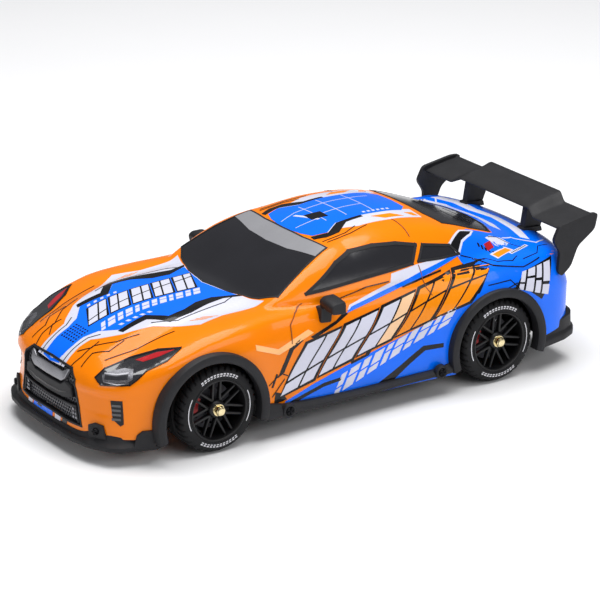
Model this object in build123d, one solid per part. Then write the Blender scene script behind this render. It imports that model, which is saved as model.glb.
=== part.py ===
from build123d import *
import math
import os

# Radio-controlled drift coupe, about one sixteenth of full size. Millimetres.
# +X is the nose, +Y the car's left side, +Z up. The ground is z = 0, and the origin
# is on the ground under the middle of the car's overall length and width.

# ---------- driving dimensions ----------
HALF_LENGTH = 152.0          # splitter's front edge and wing's rear edge
HALF_BASE = 87.0             # half the wheelbase
TYRE_R = 22.8
TYRE_OUT = 64.0              # outer face of tyre and rim, from the centre line
TYRE_IN = 43.0
RIM_R = 16.4
BARREL_R = 14.6              # inside of the rim's barrel
AXLE_R = 2.0
FIT = 0.05                   # radial clearance of a running fit
WALL = 1.6                   # body shell

KINGPIN_Y = 50.0
KINGPIN_R = 1.5
KNUCKLE_ARM = 7.0            # kingpin to tie rod pin
HORN_ARM = 10.0              # servo shaft to tie rod pin
LINK_PIN_R = 0.9
ARM_HINGE_Y = 16.0
ARM_HINGE_Z = 15.0
SPRING_Y = 32.0
SPRING_Z = (16.6, 36.0)
ROD_X = HALF_BASE - KNUCKLE_ARM
ROD_Z = (25.8, 28.0)

FLOOR_Z = (8.0, 10.5)        # chassis floor
TUB_X = (-58.0, 57.0)
TUB_Y = 50.0
POD_HINGE = (-52.0, 13.5)    # x, z of the rear pod's cross hinge

TEETH_SPUR = 44
TEETH_PINION = 12
MODULE = 0.5
GEAR_Y = (-14.0, -10.0)
MOTOR_R = 10.0
MOTOR_Y = (-6.0, 22.0)

ARCH_FRONT = (91.0, 21.0, 28.0, 33.0)      # x, z, opening radius, flare radius
ARCH_REAR = (-85.8, 21.8, 26.0, 31.0)
FLARE_Y = (61.5, 67.3)

# Body stations: x, sill half width, sill z, belt half width, crown half width, crown z,
# glass foot half width and z, roof rail half width and z, centre z.
STATIONS = [
    (-142, 50, 27.0, 54, 44, 58.0, 30, 59.0, 20, 59.5, 60.0),
    (-138, 55, 27.0, 58, 50, 63.0, 34, 64.5, 22, 65.5, 66.0),
    (-128, 59, 26.0, 62, 55, 66.0, 38, 67.0, 26, 67.6, 68.0),
    (-112, 60, 25.0, 64, 57, 66.8, 42, 67.6, 30, 69.5, 70.5),
    (-90, 60, 20.0, 64, 57, 67.5, 47, 68.0, 36, 75.0, 78.5),
    (-60, 59, 17.5, 63, 56, 67.5, 51, 69.5, 41, 78.0, 87.5),
    (-30, 58.5, 17.5, 61.5, 55.5, 67.0, 53, 71.0, 41, 82.0, 91.5),
    (3.4, 58.5, 17.5, 61.5, 55.5, 66.5, 53.0, 69.0, 39.0, 85.5, 88.0),
    (22.0, 58.5, 17.5, 61.5, 55.5, 66.0, 50.0, 68.0, 41.5, 77.5, 79.0),
    (41.3, 59, 17.5, 61.5, 55, 65.2, 48.0, 66.2, 43.0, 69.0, 70.6),
    (56, 60, 17.5, 62.5, 55, 64.2, 40, 64.3, 28, 65.0, 65.6),
    (90, 60, 17.0, 64, 56, 62.3, 38, 62.4, 24, 63.8, 64.4),
    (118, 60, 15.0, 61.5, 54, 55.6, 36, 56.8, 22, 58.6, 59.0),
    (132, 56, 14.5, 56.5, 48, 49.8, 36, 51.6, 22, 53.6, 54.0),
    (141, 46, 14.0, 48.0, 41, 45.2, 33, 47.2, 20, 49.2, 49.5),
    (146, 34, 14.0, 36, 31, 41.0, 28, 43.0, 18, 44.2, 44.5),
    (148, 26, 14.0, 27, 25, 38.0, 22, 39.5, 14, 40.6, 41.0),
]


def block(x, y, z):
    """Box between two limits along each axis."""
    size = (x[1] - x[0], y[1] - y[0], z[1] - z[0])
    centre = ((x[0] + x[1]) / 2, (y[0] + y[1]) / 2, (z[0] + z[1]) / 2)
    return Pos(*centre) * Box(*size)


def rod_y(x, z, radius, y):
    """Cylinder along Y."""
    middle = (y[0] + y[1]) / 2
    return Pos(x, middle, z) * Rot(90, 0, 0) * Cylinder(radius, y[1] - y[0])


def rod_x(y, z, radius, x):
    """Cylinder along X."""
    return Pos((x[0] + x[1]) / 2, y, z) * Rot(0, 90, 0) * Cylinder(radius, x[1] - x[0])


def rod_z(x, y, radius, z):
    """Cylinder along Z."""
    return Pos(x, y, (z[0] + z[1]) / 2) * Cylinder(radius, z[1] - z[0])


def side_prism(points, y):
    """Side-view (x, z) outline carried across the car between two y values."""
    face = make_face(Polyline(*[(px, 0, pz) for px, pz in points], close=True))
    solid = extrude(face, y[1] - y[0], dir=(0, 1, 0))
    return Pos(0, y[0], 0) * solid


def top_prism(points, z):
    """Plan (x, y) outline carried upwards between two heights."""
    face = make_face(Polyline(*[(px, py, z[0]) for px, py in points], close=True))
    return extrude(face, z[1] - z[0], dir=(0, 0, 1))


def front_prism(points, x):
    """Front-view (y, z) outline carried along the car between two x values."""
    face = make_face(Polyline(*[(x[0], py, pz) for py, pz in points], close=True))
    return extrude(face, x[1] - x[0], dir=(1, 0, 0))


def mirrored(points):
    """Half outline (along, across) closed with its other half, across the centre line."""
    return points + [(a, -b) for a, b in reversed(points)]


def right(shape):
    """The same piece on the car's right side."""
    return mirror(shape, Plane.XZ)


def both(shape):
    return Compound([solid for piece in (shape, right(shape)) for solid in piece.solids()])


def group(*shapes):
    return Compound([solid for shape in shapes for solid in shape.solids()])


# ---------- body shell ----------
def body_section(station, inset):
    """Cross-section face of the body at a station, moved inwards by inset."""
    x, sill_w, sill_z, belt_w, crown_w, crown_z, foot_w, foot_z, rail_w, rail_z, top_z = station
    lowest = sill_z if inset == 0 else -5.0
    half = [(sill_w - inset, lowest), (belt_w - inset, 34.0 if inset == 0 else 33.0),
            (belt_w - 0.6 - inset, min(47.0, crown_z - 7) - inset * 0.5), (crown_w - inset, crown_z - inset),
            (foot_w - inset, foot_z - inset), (rail_w - inset * 0.6, rail_z - inset),
            (rail_w * 0.5, (rail_z + 2 * top_z) / 3 - inset), (0, top_z - inset)]
    loop = half + [(-y, z) for y, z in reversed(half[:-1])]
    return make_face(Polyline(*[(x, y, z) for y, z in loop], close=True))


def body_solid(inset):
    stations = [list(s) for s in STATIONS]
    stations[0][0] += inset * 1.4
    stations[-1][0] -= inset * 1.4
    return loft([body_section(s, inset) for s in stations], ruled=True)


OUTER = body_solid(0)
SKIN = OUTER - body_solid(WALL)


def arch_cut(arch):
    x, z, _, flare = arch
    return rod_y(x, z, flare, (35, 80)) + rod_y(x, z, flare, (-80, -35))


WINDSCREEN = mirrored([(54, 6), (41.3, 45.5), (4.5, 36.0), (7.0, 8)])
REAR_GLASS = mirrored([(-62, 8), (-66, 36), (-108, 27), (-110, 6)])
DOOR_GLASS = [(25, 69.6), (-5.5, 82.0), (-44, 79.2), (-38.0, 72.2)]
QUARTER_GLASS = [(-48, 78.4), (-42.6, 72.8), (-70, 70.4), (-65, 76.0)]
HEADLIGHT = [(143, 44.0), (137, 50), (122, 58), (103, 57.5), (104, 54), (130, 42.5)]
TAIL_LAMP = [(24, 47), (47, 47), (49, 54), (24, 54)]

windscreen_cut = top_prism(WINDSCREEN, (56, 100))
rear_glass_cut = top_prism(REAR_GLASS, (60, 100))
side_cut = both(side_prism(DOOR_GLASS, (34, 75)) + side_prism(QUARTER_GLASS, (34, 75)))
lamp_cut = both(side_prism(HEADLIGHT, (36, 75)))
grille_cut = front_prism([(y, z) for z, y in mirrored([(15.5, 25.5), (38.0, 23.5)])], (138, 155))
tail_cut = both(front_prism(TAIL_LAMP, (-150, -132)))

windscreen = SKIN & windscreen_cut
rear_window = SKIN & rear_glass_cut
side_windows = (SKIN & side_cut) - windscreen_cut
headlight_lenses = SKIN & lamp_cut
grille_insert = SKIN & grille_cut
tail_lamps = SKIN & tail_cut
body_shell = SKIN - arch_cut(ARCH_FRONT) - arch_cut(ARCH_REAR)
for opening in (windscreen_cut, rear_glass_cut, side_cut, lamp_cut, grille_cut, tail_cut):
    body_shell -= opening


# ---------- black lower trim ----------
def flare(arch):
    """Arch flare: a ring between the opening and its outer edge, cut off at the sill."""
    x, z, opening, outer = arch
    ring = rod_y(x, z, outer, FLARE_Y) - rod_y(x, z, opening, (50, 80))
    return ring & block((x - 60, x + 60), (55, 75), (12.0, 80))


front_arch_flares = both(flare(ARCH_FRONT))
rear_arch_flares = both(flare(ARCH_REAR))

SPLITTER = [(114.5, 56), (121, 60), (139, 54), (143.5, 50), (149, 39), (151.5, 25), (HALF_LENGTH, 8)]
splitter_plate = top_prism(mirrored(SPLITTER), (8.0, 10.5))
splitter_plate -= top_prism(mirrored([(100, 52), (121, 53), (133, 46), (141, 32), (143, 10)]), (0, 20))
LIP = [(119, 58), (136, 51.5), (143, 42), (147, 26), (147.5, 8)]
LIP_IN = [(119, 56), (134, 49.5), (141, 40), (145, 25), (145.5, 8)]
splitter_lip = top_prism(mirrored(LIP), (10.5, 14.0)) - top_prism(mirrored(LIP_IN), (5, 20))
splitter_lip -= block((100, 119.1), (-70, 70), (0, 30))
front_splitter = splitter_plate + splitter_lip

skirt = side_prism([(-60, 12.0), (59, 11.0), (58, 17.5), (-56, 17.5)], (58.5, 66.0))
skirt -= block((-80, 80), (40, 64.0), (5, 15.5))
skirt -= rod_y(ARCH_FRONT[0], ARCH_FRONT[1], ARCH_FRONT[3], (40, 80))
skirt -= rod_y(ARCH_REAR[0], ARCH_REAR[1], ARCH_REAR[3], (40, 80))
for end in (-50, 46):
    skirt += block((end, end + 8), (54.5, 60), (15.5, 17.5))
    skirt -= rod_y(end + 4, 14.0, 1.5, (60, 70))
side_skirts = both(skirt)

TAIL = [(-116.8, 63.0), (-131, 60.5), (-138.5, 57.0), (-142.5, 53.0), (-144.0, 46), (-144.6, 12)]
TAIL_IN = [(-116.8, 61.0), (-130.5, 58.5), (-137.2, 55.4), (-140.6, 51.8), (-142.0, 45.5), (-142.6, 12)]
rear_skirt = top_prism(mirrored(TAIL), (15, 25)) - top_prism(mirrored(TAIL_IN), (10, 40))
for y in (-30, -10, 10, 30):
    rear_skirt += block((-142, -120), (y - 0.8, y + 0.8), (12, 18))
rear_skirt += block((-130, -120), (-59.5, 59.5), (18, 20))


def mirror_piece():
    """Mirror head, deepest at its rear face, on a foot that stands on the door."""
    head = loft([make_face(Polyline((13.2, y, 60.6), (22.4, y, 61.6), (23.0 - rake, y, 66.0), (20.5 - rake, y, top),
                                    (13.4, y, top), close=True))
                 for y, rake, top in ((57.2, -0.6, 68.2), (69.5, 0.6, 67.2))], ruled=True)
    foot = block((17.0, 23.5), (54.0, 60.0), (55.2, 62.5))
    return (head + foot) - OUTER


mirrors = both(mirror_piece())


# ---------- rear wing ----------
def wing_section(y, front, rear):
    """Wing section at one y: leading and trailing edge points (x, z), flat underside."""
    (fx, fz), (rx, rz) = front, rear
    points = [(fx, fz - 1.2), (fx, fz + 0.6), ((fx + rx) / 2, (fz + rz) / 2 + 1.1),
              (rx, rz + 0.8), (rx, rz - 0.8), ((fx + rx) / 2, (fz + rz) / 2 - 1.6)]
    return make_face(Polyline(*[(px, y, pz) for px, pz in points], close=True))


WING_Y = 61.0
WING = [(-WING_Y, (-128.2, 76.2), (-149.0, 79.6)), (-38, (-129.0, 76.8), (-149.5, 80.2)),
        (-30, (-130.0, 79.8), (-151.0, 83.8))]
WING += [(-y, front, rear) for y, front, rear in reversed(WING)]
wing_blade = loft([wing_section(*row) for row in WING], ruled=True)
END_PLATE = [(-HALF_LENGTH, 82), (-150, 73.5), (-139, 66), (-134.5, 55.5), (-128.5, 50.8), (-126, 53.5),
             (-127, 64.5), (-122.5, 71.5), (-126.5, 79.5)]
wing_end_plates = both(side_prism(END_PLATE, (WING_Y, WING_Y + 2.2)))
rear_wing = wing_blade + wing_end_plates
STRUT = [(-129, 60), (-140, 60), (-149, 84), (-131, 84)]
wing_struts = both(side_prism(STRUT, (24.6, 27.6))) - OUTER - wing_blade
wing_struts = group(*[s for s in wing_struts.solids() if s.center().Z > 68 and s.center().Z < 81])

shell_screws = []
for x in (-46, 50):
    screw = rod_y(x, 14.0, 1.5, (64.0, 65.6)) + rod_y(x, 14.0, 2.6, (66.0, 67.2)) + rod_y(x, 14.0, 1.5, (65.6, 66))
    screw -= block((x - 1.8, x + 1.8), (66.7, 68), (13.7, 14.3))
    screw -= block((x - 0.3, x + 0.3), (66.7, 68), (12.2, 15.8))
    shell_screws.append(both(screw))
shell_screws = group(*shell_screws)


# ---------- wheels ----------
def tyre(x):
    outline = [(RIM_R, TYRE_IN), (20.5, TYRE_IN), (TYRE_R, TYRE_IN + 2.5), (TYRE_R, TYRE_OUT - 3.0),
               (22.0, TYRE_OUT - 0.8), (19.0, TYRE_OUT), (RIM_R, TYRE_OUT - 0.6)]
    face = make_face(Polyline(*[(0, y, r) for r, y in outline], close=True))
    solid = revolve(face, Axis.Y)
    for y in (48.5, 53.5, 58.5):
        groove = rod_y(0, 0, TYRE_R + 1, (y - 0.6, y + 0.6)) - rod_y(0, 0, TYRE_R - 0.9, (y - 1, y + 1))
        solid -= groove
    return Pos(x, 0, TYRE_R) * solid


def rim(x, bore):
    barrel = rod_y(0, 0, RIM_R, (TYRE_IN, TYRE_OUT - 0.6)) - rod_y(0, 0, BARREL_R, (40, 70))
    lip = rod_y(0, 0, RIM_R, (TYRE_OUT - 0.6, TYRE_OUT)) - rod_y(0, 0, BARREL_R + 0.6, (40, 70))
    hub = rod_y(0, 0, 4.0, (53.0, 63.0))
    solid = barrel + lip + hub
    for spoke in range(7):
        for lean in (-13, 13):
            root = math.radians(360 * spoke / 7 + lean * 0.35)
            tip = math.radians(360 * spoke / 7 + lean)
            start = (3.2 * math.cos(root), 3.2 * math.sin(root))
            end = ((BARREL_R + 0.6) * math.cos(tip), (BARREL_R + 0.6) * math.sin(tip))
            length = math.hypot(end[0] - start[0], end[1] - start[1])
            angle = math.degrees(math.atan2(end[1] - start[1], end[0] - start[0]))
            bar = Box(length, 2.6, 1.7)
            middle = ((start[0] + end[0]) / 2, 61.2, (start[1] + end[1]) / 2)
            solid += Pos(*middle) * Rot(0, -angle, 0) * bar
    return Pos(x, 0, TYRE_R) * (solid - rod_y(0, 0, bore, (50, 70)))


def brake_disc(x):
    disc = rod_y(x, TYRE_R, 12.0, (54, 55)) - rod_y(x, TYRE_R, 4.0, (50, 60))
    for hole in range(12):
        angle = math.radians(30 * hole)
        disc -= rod_y(x + 9.3 * math.cos(angle), TYRE_R + 9.3 * math.sin(angle), 0.7, (50, 60))
    return disc


def wheel_nut(x, bore):
    washer = rod_y(x, TYRE_R, 4.2, (63.0, 63.7))
    hexagon = Pos(x, 63.7, TYRE_R) * Rot(-90, 0, 0) * extrude(RegularPolygon(3.1, 6), 2.6)
    return (washer + hexagon) - rod_y(x, TYRE_R, bore, (60, 70))


def caliper(x):
    """Brake caliper over the disc's leading side: an arc block with a slot for the disc."""
    arc = rod_y(x, TYRE_R, 13.6, (52.6, 57.2)) - rod_y(x, TYRE_R, 8.4, (50, 60))
    arc -= rod_y(x, TYRE_R, 12.6, (53.6, 55.4))
    angle = math.radians(24)
    wedge = side_prism([(x, TYRE_R), (x + 30, TYRE_R - 30 * math.tan(math.radians(8))),
                        (x + 30, TYRE_R + 30 * math.tan(angle * 1.6))], (50, 60))
    return arc & wedge


# ---------- front suspension and steering ----------
FX = HALF_BASE
lugs = block((79, 82), (-20, 20), (FLOOR_Z[1], 20)) + block((92, 95), (-20, 20), (FLOOR_Z[1], 20))
core = block((83, 91), (-11, 11), (FLOOR_Z[1], 36))
base = block((79, 95), (-11, 11), (FLOOR_Z[1], 12.2))
tower = block((82.5, 91.5), (-37, 37), (36, 39))
front_bulkhead = lugs + core + base + tower
for side in (-1, 1):
    front_bulkhead -= rod_x(side * ARM_HINGE_Y, ARM_HINGE_Z, 1.0, (78, 96))
hinge_pins = both(rod_x(ARM_HINGE_Y, ARM_HINGE_Z, 1.0, (79, 95)))
spring_guides = both(rod_z(FX, SPRING_Y, 1.5, (24, 36)) + rod_z(FX, SPRING_Y, 2.2, (39, 40.5)))


def coil(x, y, z, radius, wire, turns):
    """Coil spring with its axis along Z."""
    height = z[1] - z[0] - 2 * wire
    path = Helix(pitch=height / turns, height=height, radius=radius)
    start = Plane(origin=path @ 0, z_dir=path % 0)
    return Pos(x, y, z[0] + wire) * sweep(start * Circle(wire), path=path)


front_spring_left = coil(FX, SPRING_Y, SPRING_Z, 3.2, 0.45, 6)
front_spring_right = coil(FX, -SPRING_Y, SPRING_Z, 3.2, 0.45, 6)


def front_arm():
    barrel = rod_x(ARM_HINGE_Y, ARM_HINGE_Z, 2.6, (82.3, 91.7))
    plate = block((82.3, 91.7), (ARM_HINGE_Y, 45), (13.5, 16.5))
    plate -= block((85.2, 88.8), (21, 26), (10, 20)) + block((85.2, 88.8), (37, 41), (10, 20))
    web = block((83.2, 90.8), (41.5, 43.5), (12, 34))
    ends = rod_z(FX, KINGPIN_Y, 3.8, (12, 15)) + block((83.2, 90.8), (41.5, KINGPIN_Y), (12, 15))
    ends += rod_z(FX, KINGPIN_Y, 3.8, (31, 34)) + block((83.2, 90.8), (41.5, KINGPIN_Y), (31, 34))
    arm = barrel + plate + web + ends
    arm -= rod_x(ARM_HINGE_Y, ARM_HINGE_Z, 1.0 + FIT, (70, 100))
    return arm - rod_z(FX, KINGPIN_Y, KINGPIN_R + FIT, (5, 40))


def knuckle():
    boss = rod_z(FX, KINGPIN_Y, 2.8, (15.4, 30.6)) + rod_z(FX, KINGPIN_Y, KINGPIN_R, (12.2, 33.8))
    stub = rod_y(FX, TYRE_R, AXLE_R, (KINGPIN_Y, 66.2)) + rod_y(FX, TYRE_R, 3.2, (KINGPIN_Y, 52.7))
    lever = block((ROD_X - 1.6, FX), (KINGPIN_Y - 1.6, KINGPIN_Y + 1.6), (21, 23.6))
    pin = rod_z(ROD_X, KINGPIN_Y, LINK_PIN_R, (21, 31))
    bracket = block((FX, FX + 10), (50.4, 52.6), (24.5, 28))
    return boss + stub + lever + pin + bracket


front_left_arm = front_arm()
front_right_arm = right(front_left_arm)
front_left_knuckle = knuckle()
front_right_knuckle = right(front_left_knuckle)

tie_rod = block((ROD_X - 1.3, ROD_X + 1.3), (-KINGPIN_Y, KINGPIN_Y), ROD_Z)
for y in (-KINGPIN_Y, 0, KINGPIN_Y):
    tie_rod += rod_z(ROD_X, y, 2.8, ROD_Z)
for y, hole in ((-KINGPIN_Y, 1.75), (0, 1.5), (KINGPIN_Y, 1.75)):
    tie_rod -= rod_z(ROD_X, y, hole, (20, 40))

SERVO_X = ROD_X - HORN_ARM
steering_servo = block((50, 75), (-6.5, 6.5), (FLOOR_Z[1], 20.5)) + block((46, 79), (-6.5, 6.5), (16, 17.5))
steering_servo += rod_z(SERVO_X, 0, 3.4, (20.5, 21.9))
steering_servo -= rod_z(SERVO_X, 0, 1.5 + FIT, (17, 30))
horn = rod_z(SERVO_X, 0, 3.4, (22.2, 24.4)) + block((SERVO_X, ROD_X), (-1.6, 1.6), (22.2, 24.4))
servo_horn = horn + rod_z(ROD_X, 0, 1.9, (22.2, 24.4)) + rod_z(ROD_X, 0, LINK_PIN_R, (22.2, 29.5))
servo_horn += rod_z(SERVO_X, 0, 1.5, (17.5, 22.2))

# ---------- chassis ----------
floor = block(TUB_X, (-TUB_Y, TUB_Y), FLOOR_Z) + block((57, 118), (-24, 24), FLOOR_Z)
walls = block(TUB_X, (-TUB_Y, TUB_Y), (FLOOR_Z[1], 22)) - block((-56, 55), (-48, 48), (5, 30))
walls -= block((50, 60), (-20, 20), (FLOOR_Z[1], 30))
walls -= block((-60, -50), (-44, 44), (FLOOR_Z[1], 30))
chassis_tub = floor + walls
for x in (-50, 46):
    chassis_tub += both(block((x, x + 8), (TUB_Y, 57.2), (FLOOR_Z[0], 15.4)))
HATCH = ((-42, 24), (-40, -10))
chassis_tub -= block(HATCH[0], HATCH[1], FLOOR_Z)
chassis_tub -= block((-46, -34), (20, 26), FLOOR_Z)
for x in (-36, -12, 12, 36):
    chassis_tub += block((x - 0.8, x + 0.8), (-2, 2), (FLOOR_Z[1], 14))
for x in (100, 108):
    for y in (-16, 16):
        chassis_tub -= rod_z(x, y, 1.6, (0, 30))
battery_hatch = block((HATCH[0][0] + 0.3, HATCH[0][1] - 0.3), (HATCH[1][0] + 0.3, HATCH[1][1] - 0.3), FLOOR_Z)
battery_hatch -= block((-38, -30), (-27, -23), (7, 8.8))
battery_pack = block((-44, 26), (-43, -7), (FLOOR_Z[1], 27))
battery_pack = chamfer(battery_pack.edges().filter_by(Axis.X), 2.5)
receiver_box = block((-22, 32), (12, 42), (FLOOR_Z[1], 21))
receiver_box = chamfer(receiver_box.edges().filter_by(Axis.Z), 2.0)
power_switch = block((-48, -32), (19, 27), (FLOOR_Z[1], 15)) - block((-46, -34), (21, 25), (10, 12))
switch_lever = block((-41.5, -38.5), (21.5, 24.5), (7.0, 11.5))
bumper_beam = top_prism(mirrored([(112, 22), (120, 40), (132, 30), (136, 8)]), (FLOOR_Z[1], 20))
bumper_beam -= top_prism(mirrored([(118, 20), (123, 30), (128, 22), (130, 6)]), (5, 18))

# Rear bridge over the sprung pod.
rear_bridge = block((-56, -52.5), (-44, 44), (26.0, 38)) + block((-72, -52.5), (-31, 31), (38, 41))
rear_bridge += both(block((-56, -52.5), (44, 48), (22, 38)))
for side in (-1, 1):
    rear_bridge += rod_z(-66, side * 26.6, 1.5, (26, 38))

# ---------- sprung rear pod ----------
RX = -HALF_BASE
pod = block((-100, -60), (-34, 34), FLOOR_Z) + block((-60.5, -59), (-34, 34), (FLOOR_Z[1], 15))
pod += block((POD_HINGE[0] - 8, POD_HINGE[0]), (-20, 20), (12.2, 14.8)) + rod_y(*POD_HINGE, 2.2, (-20, 20))
for side in (-1, 1):
    plate = (side * 30, side * 33)
    pod += block((-97, -77), (min(plate), max(plate)), (FLOOR_Z[1], 31))
    pod += rod_z(-66, side * 26.6, 4.2, (FLOOR_Z[1], 13.0))
pod += block((-86, -62), (-8, MOTOR_Y[0]), (FLOOR_Z[1], 30))
PINION_X = RX + MODULE * (TEETH_SPUR + TEETH_PINION) / 2
pod -= rod_y(*POD_HINGE, 1.0 + FIT, (-30, 30))
pod -= rod_y(RX, TYRE_R, 5.0, (-40, 40))
pod -= rod_y(PINION_X, TYRE_R, 4.0, (-9, -5.9))
pod_pin = rod_y(*POD_HINGE, 1.0, (-24, 24))
chassis_tub += both(block((-55, -50), (20.4, 24), (FLOOR_Z[1], 16))) - pod_pin
rear_bearings = both(rod_y(RX, TYRE_R, 5.0, (29.8, 33.2)) - rod_y(RX, TYRE_R, AXLE_R + FIT, (20, 40)))
drive_motor = rod_y(PINION_X, TYRE_R, MOTOR_R, MOTOR_Y) + rod_y(PINION_X, TYRE_R, 3.0, (22, 24.5))
drive_motor = drive_motor & block((-200, 0), (-50, 50), (TYRE_R - 8.6, TYRE_R + 8.6))
drive_motor += rod_y(PINION_X, TYRE_R, 3.9, (-7.5, -6))
drive_motor -= rod_y(PINION_X, TYRE_R, 1.0 + FIT, (-9, 0))
pod_springs = group(coil(-66, 26.6, (13.1, 38), 3.0, 0.45, 6), coil(-66, -26.6, (13.1, 38), 3.0, 0.45, 6))
rear_pod_frame = pod + both(block((RX + 1, RX + 11), (32, 52.6), (28.2, 30.5)))
rear_calipers = both(caliper(RX))


def gear(teeth, offset, bore):
    """Spur gear about Y through the origin: teeth tapered from root to tip."""
    pitch = MODULE * teeth / 2
    root, tip = pitch - 0.65, pitch + 0.42
    points = []
    for tooth in range(teeth):
        centre = 2 * math.pi * (tooth + offset) / teeth
        for radius, half in ((root, 0.36), (tip, 0.14)):
            points.append((radius, centre - half * 1.25 / radius))
        for radius, half in ((tip, 0.14), (root, 0.36)):
            points.append((radius, centre + half * 1.25 / radius))
    face = make_face(Polyline(*[(r * math.cos(a), 0, r * math.sin(a)) for r, a in points], close=True))
    solid = Pos(0, GEAR_Y[0], 0) * extrude(face, GEAR_Y[1] - GEAR_Y[0], dir=(0, 1, 0))
    return solid - rod_y(0, 0, bore, (GEAR_Y[0] - 1, GEAR_Y[1] + 1))


spur_gear = Pos(RX, 0, TYRE_R) * gear(TEETH_SPUR, 0, AXLE_R)
motor_pinion = Pos(PINION_X, 0, TYRE_R) * gear(TEETH_PINION, 0.5, 1.0)
motor_pinion += rod_y(PINION_X, TYRE_R, 1.0, (GEAR_Y[0], -0.5))
rear_axle = rod_y(RX, TYRE_R, AXLE_R, (-66.2, 66.2))

nodes = {
    "chassis_tub": chassis_tub, "front_bulkhead": front_bulkhead, "hinge_pins": group(hinge_pins, pod_pin),
    "spring_guides": spring_guides, "front_spring_left": front_spring_left,
    "front_spring_right": front_spring_right, "steering_servo": steering_servo, "servo_horn": servo_horn,
    "tie_rod": tie_rod, "battery_hatch": battery_hatch, "battery_pack": battery_pack,
    "receiver_box": receiver_box, "power_switch": power_switch, "switch_lever": switch_lever,
    "bumper_beam": bumper_beam, "rear_bridge": rear_bridge,
    "rear_pod_frame": rear_pod_frame, "rear_bearings": rear_bearings,
    "drive_motor": drive_motor, "motor_pinion": motor_pinion, "spur_gear": spur_gear,
    "rear_axle_shaft": rear_axle, "pod_springs": pod_springs,
    "rear_calipers": rear_calipers, "rear_brake_discs": both(brake_disc(RX)),
    "rear_wheel_nuts": both(wheel_nut(RX, AXLE_R)),
    "body_shell": body_shell, "windscreen": windscreen, "rear_window": rear_window,
    "side_windows": side_windows, "headlight_lenses": headlight_lenses, "grille_insert": grille_insert,
    "tail_lamps": tail_lamps, "front_arch_flares": front_arch_flares, "rear_arch_flares": rear_arch_flares,
    "front_splitter": front_splitter, "side_skirts": side_skirts, "rear_skirt": rear_skirt,
    "mirrors": mirrors, "rear_wing": rear_wing, "wing_struts": wing_struts, "shell_screws": shell_screws,
}
for name, flip in (("left", lambda shape: shape), ("right", right)):
    nodes[f"front_{name}_arm"] = flip(front_left_arm)
    nodes[f"front_{name}_knuckle"] = flip(front_left_knuckle)
    nodes[f"front_{name}_caliper"] = flip(caliper(FX))
    nodes[f"front_{name}_brake_disc"] = flip(brake_disc(FX))
    nodes[f"front_{name}_wheel_nut"] = flip(wheel_nut(FX, AXLE_R + FIT))
    nodes[f"front_{name}_rim"] = flip(rim(FX, AXLE_R + FIT))
    nodes[f"front_{name}_tyre"] = flip(tyre(FX))
    nodes[f"rear_{name}_rim"] = flip(rim(RX, AXLE_R))
    nodes[f"rear_{name}_tyre"] = flip(tyre(RX))

os.makedirs("parts", exist_ok=True)
for name, shape in nodes.items():
    export_step(shape, f"parts/{name}.step")
print(len(nodes), "nodes")
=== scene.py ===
import math

import bmesh
import bpy
import numpy as np
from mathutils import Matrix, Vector
from mathutils.geometry import delaunay_2d_cdt


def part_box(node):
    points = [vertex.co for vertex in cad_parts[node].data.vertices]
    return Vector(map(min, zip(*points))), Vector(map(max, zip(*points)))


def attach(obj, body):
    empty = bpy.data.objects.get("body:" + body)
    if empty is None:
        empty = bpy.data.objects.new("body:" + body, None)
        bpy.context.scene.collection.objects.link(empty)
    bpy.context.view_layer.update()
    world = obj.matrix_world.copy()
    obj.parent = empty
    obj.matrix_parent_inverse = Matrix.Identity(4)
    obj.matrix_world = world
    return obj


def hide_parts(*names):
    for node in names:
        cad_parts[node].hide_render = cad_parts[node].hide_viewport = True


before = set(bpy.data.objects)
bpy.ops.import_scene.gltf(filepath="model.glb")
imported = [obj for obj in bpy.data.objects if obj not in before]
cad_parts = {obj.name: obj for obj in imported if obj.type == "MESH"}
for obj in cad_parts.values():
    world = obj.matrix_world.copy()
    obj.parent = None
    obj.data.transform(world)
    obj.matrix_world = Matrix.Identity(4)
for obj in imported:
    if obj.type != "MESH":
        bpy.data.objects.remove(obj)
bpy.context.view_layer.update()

# Drift car, one sixteenth scale: x to the nose, y to its left, z up from the floor.
# Sizes below are in millimetres; put() turns them to metres.
MM = 0.001


def node_box(node):
    """Lowest and highest corners of a CAD node, in millimetres."""
    low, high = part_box(node)
    return np.array(low) / MM, np.array(high) / MM


tyre_low, tyre_high = node_box("front_left_tyre")
rear_low, rear_high = node_box("rear_left_tyre")
TYRE_R = (tyre_high[2] - tyre_low[2]) / 2
FRONT_X = (tyre_low[0] + tyre_high[0]) / 2
REAR_X = (rear_low[0] + rear_high[0]) / 2
TYRE_Y = (tyre_low[1], tyre_high[1])
RIM_R = 16.4
SPLITTER_X = node_box("front_splitter")[1][0]
SKIRT_LOW, SKIRT_HIGH = node_box("side_skirts")
WING_LOW, WING_HIGH = node_box("rear_wing")
ARCH_FRONT = (91.0, 21.0, 28.0, 33.0)     # x, z, opening radius, flare radius
ARCH_REAR = (-85.8, 21.8, 26.0, 31.0)


# ---------------------------------------------------------------- materials
def hex_rgb(code):
    """sRGB hex to linear RGBA."""
    parts = [int(code[i:i + 2], 16) / 255 for i in (1, 3, 5)]
    linear = [c / 12.92 if c <= 0.04045 else ((c + 0.055) / 1.055) ** 2.4 for c in parts]
    return (*linear, 1.0)


def add(tree, kind, settings=None, **links):
    """Adds a node, sets properties or sockets by name, and links sockets from (node, output) pairs."""
    node = tree.nodes.new(kind)
    for key, value in (settings or {}).items():
        if key in node.inputs:
            node.inputs[key].default_value = value
        else:
            setattr(node, key, value)
    for key, (source, output) in links.items():
        tree.links.new(source.outputs[output], node.inputs[key])
    return node


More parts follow.
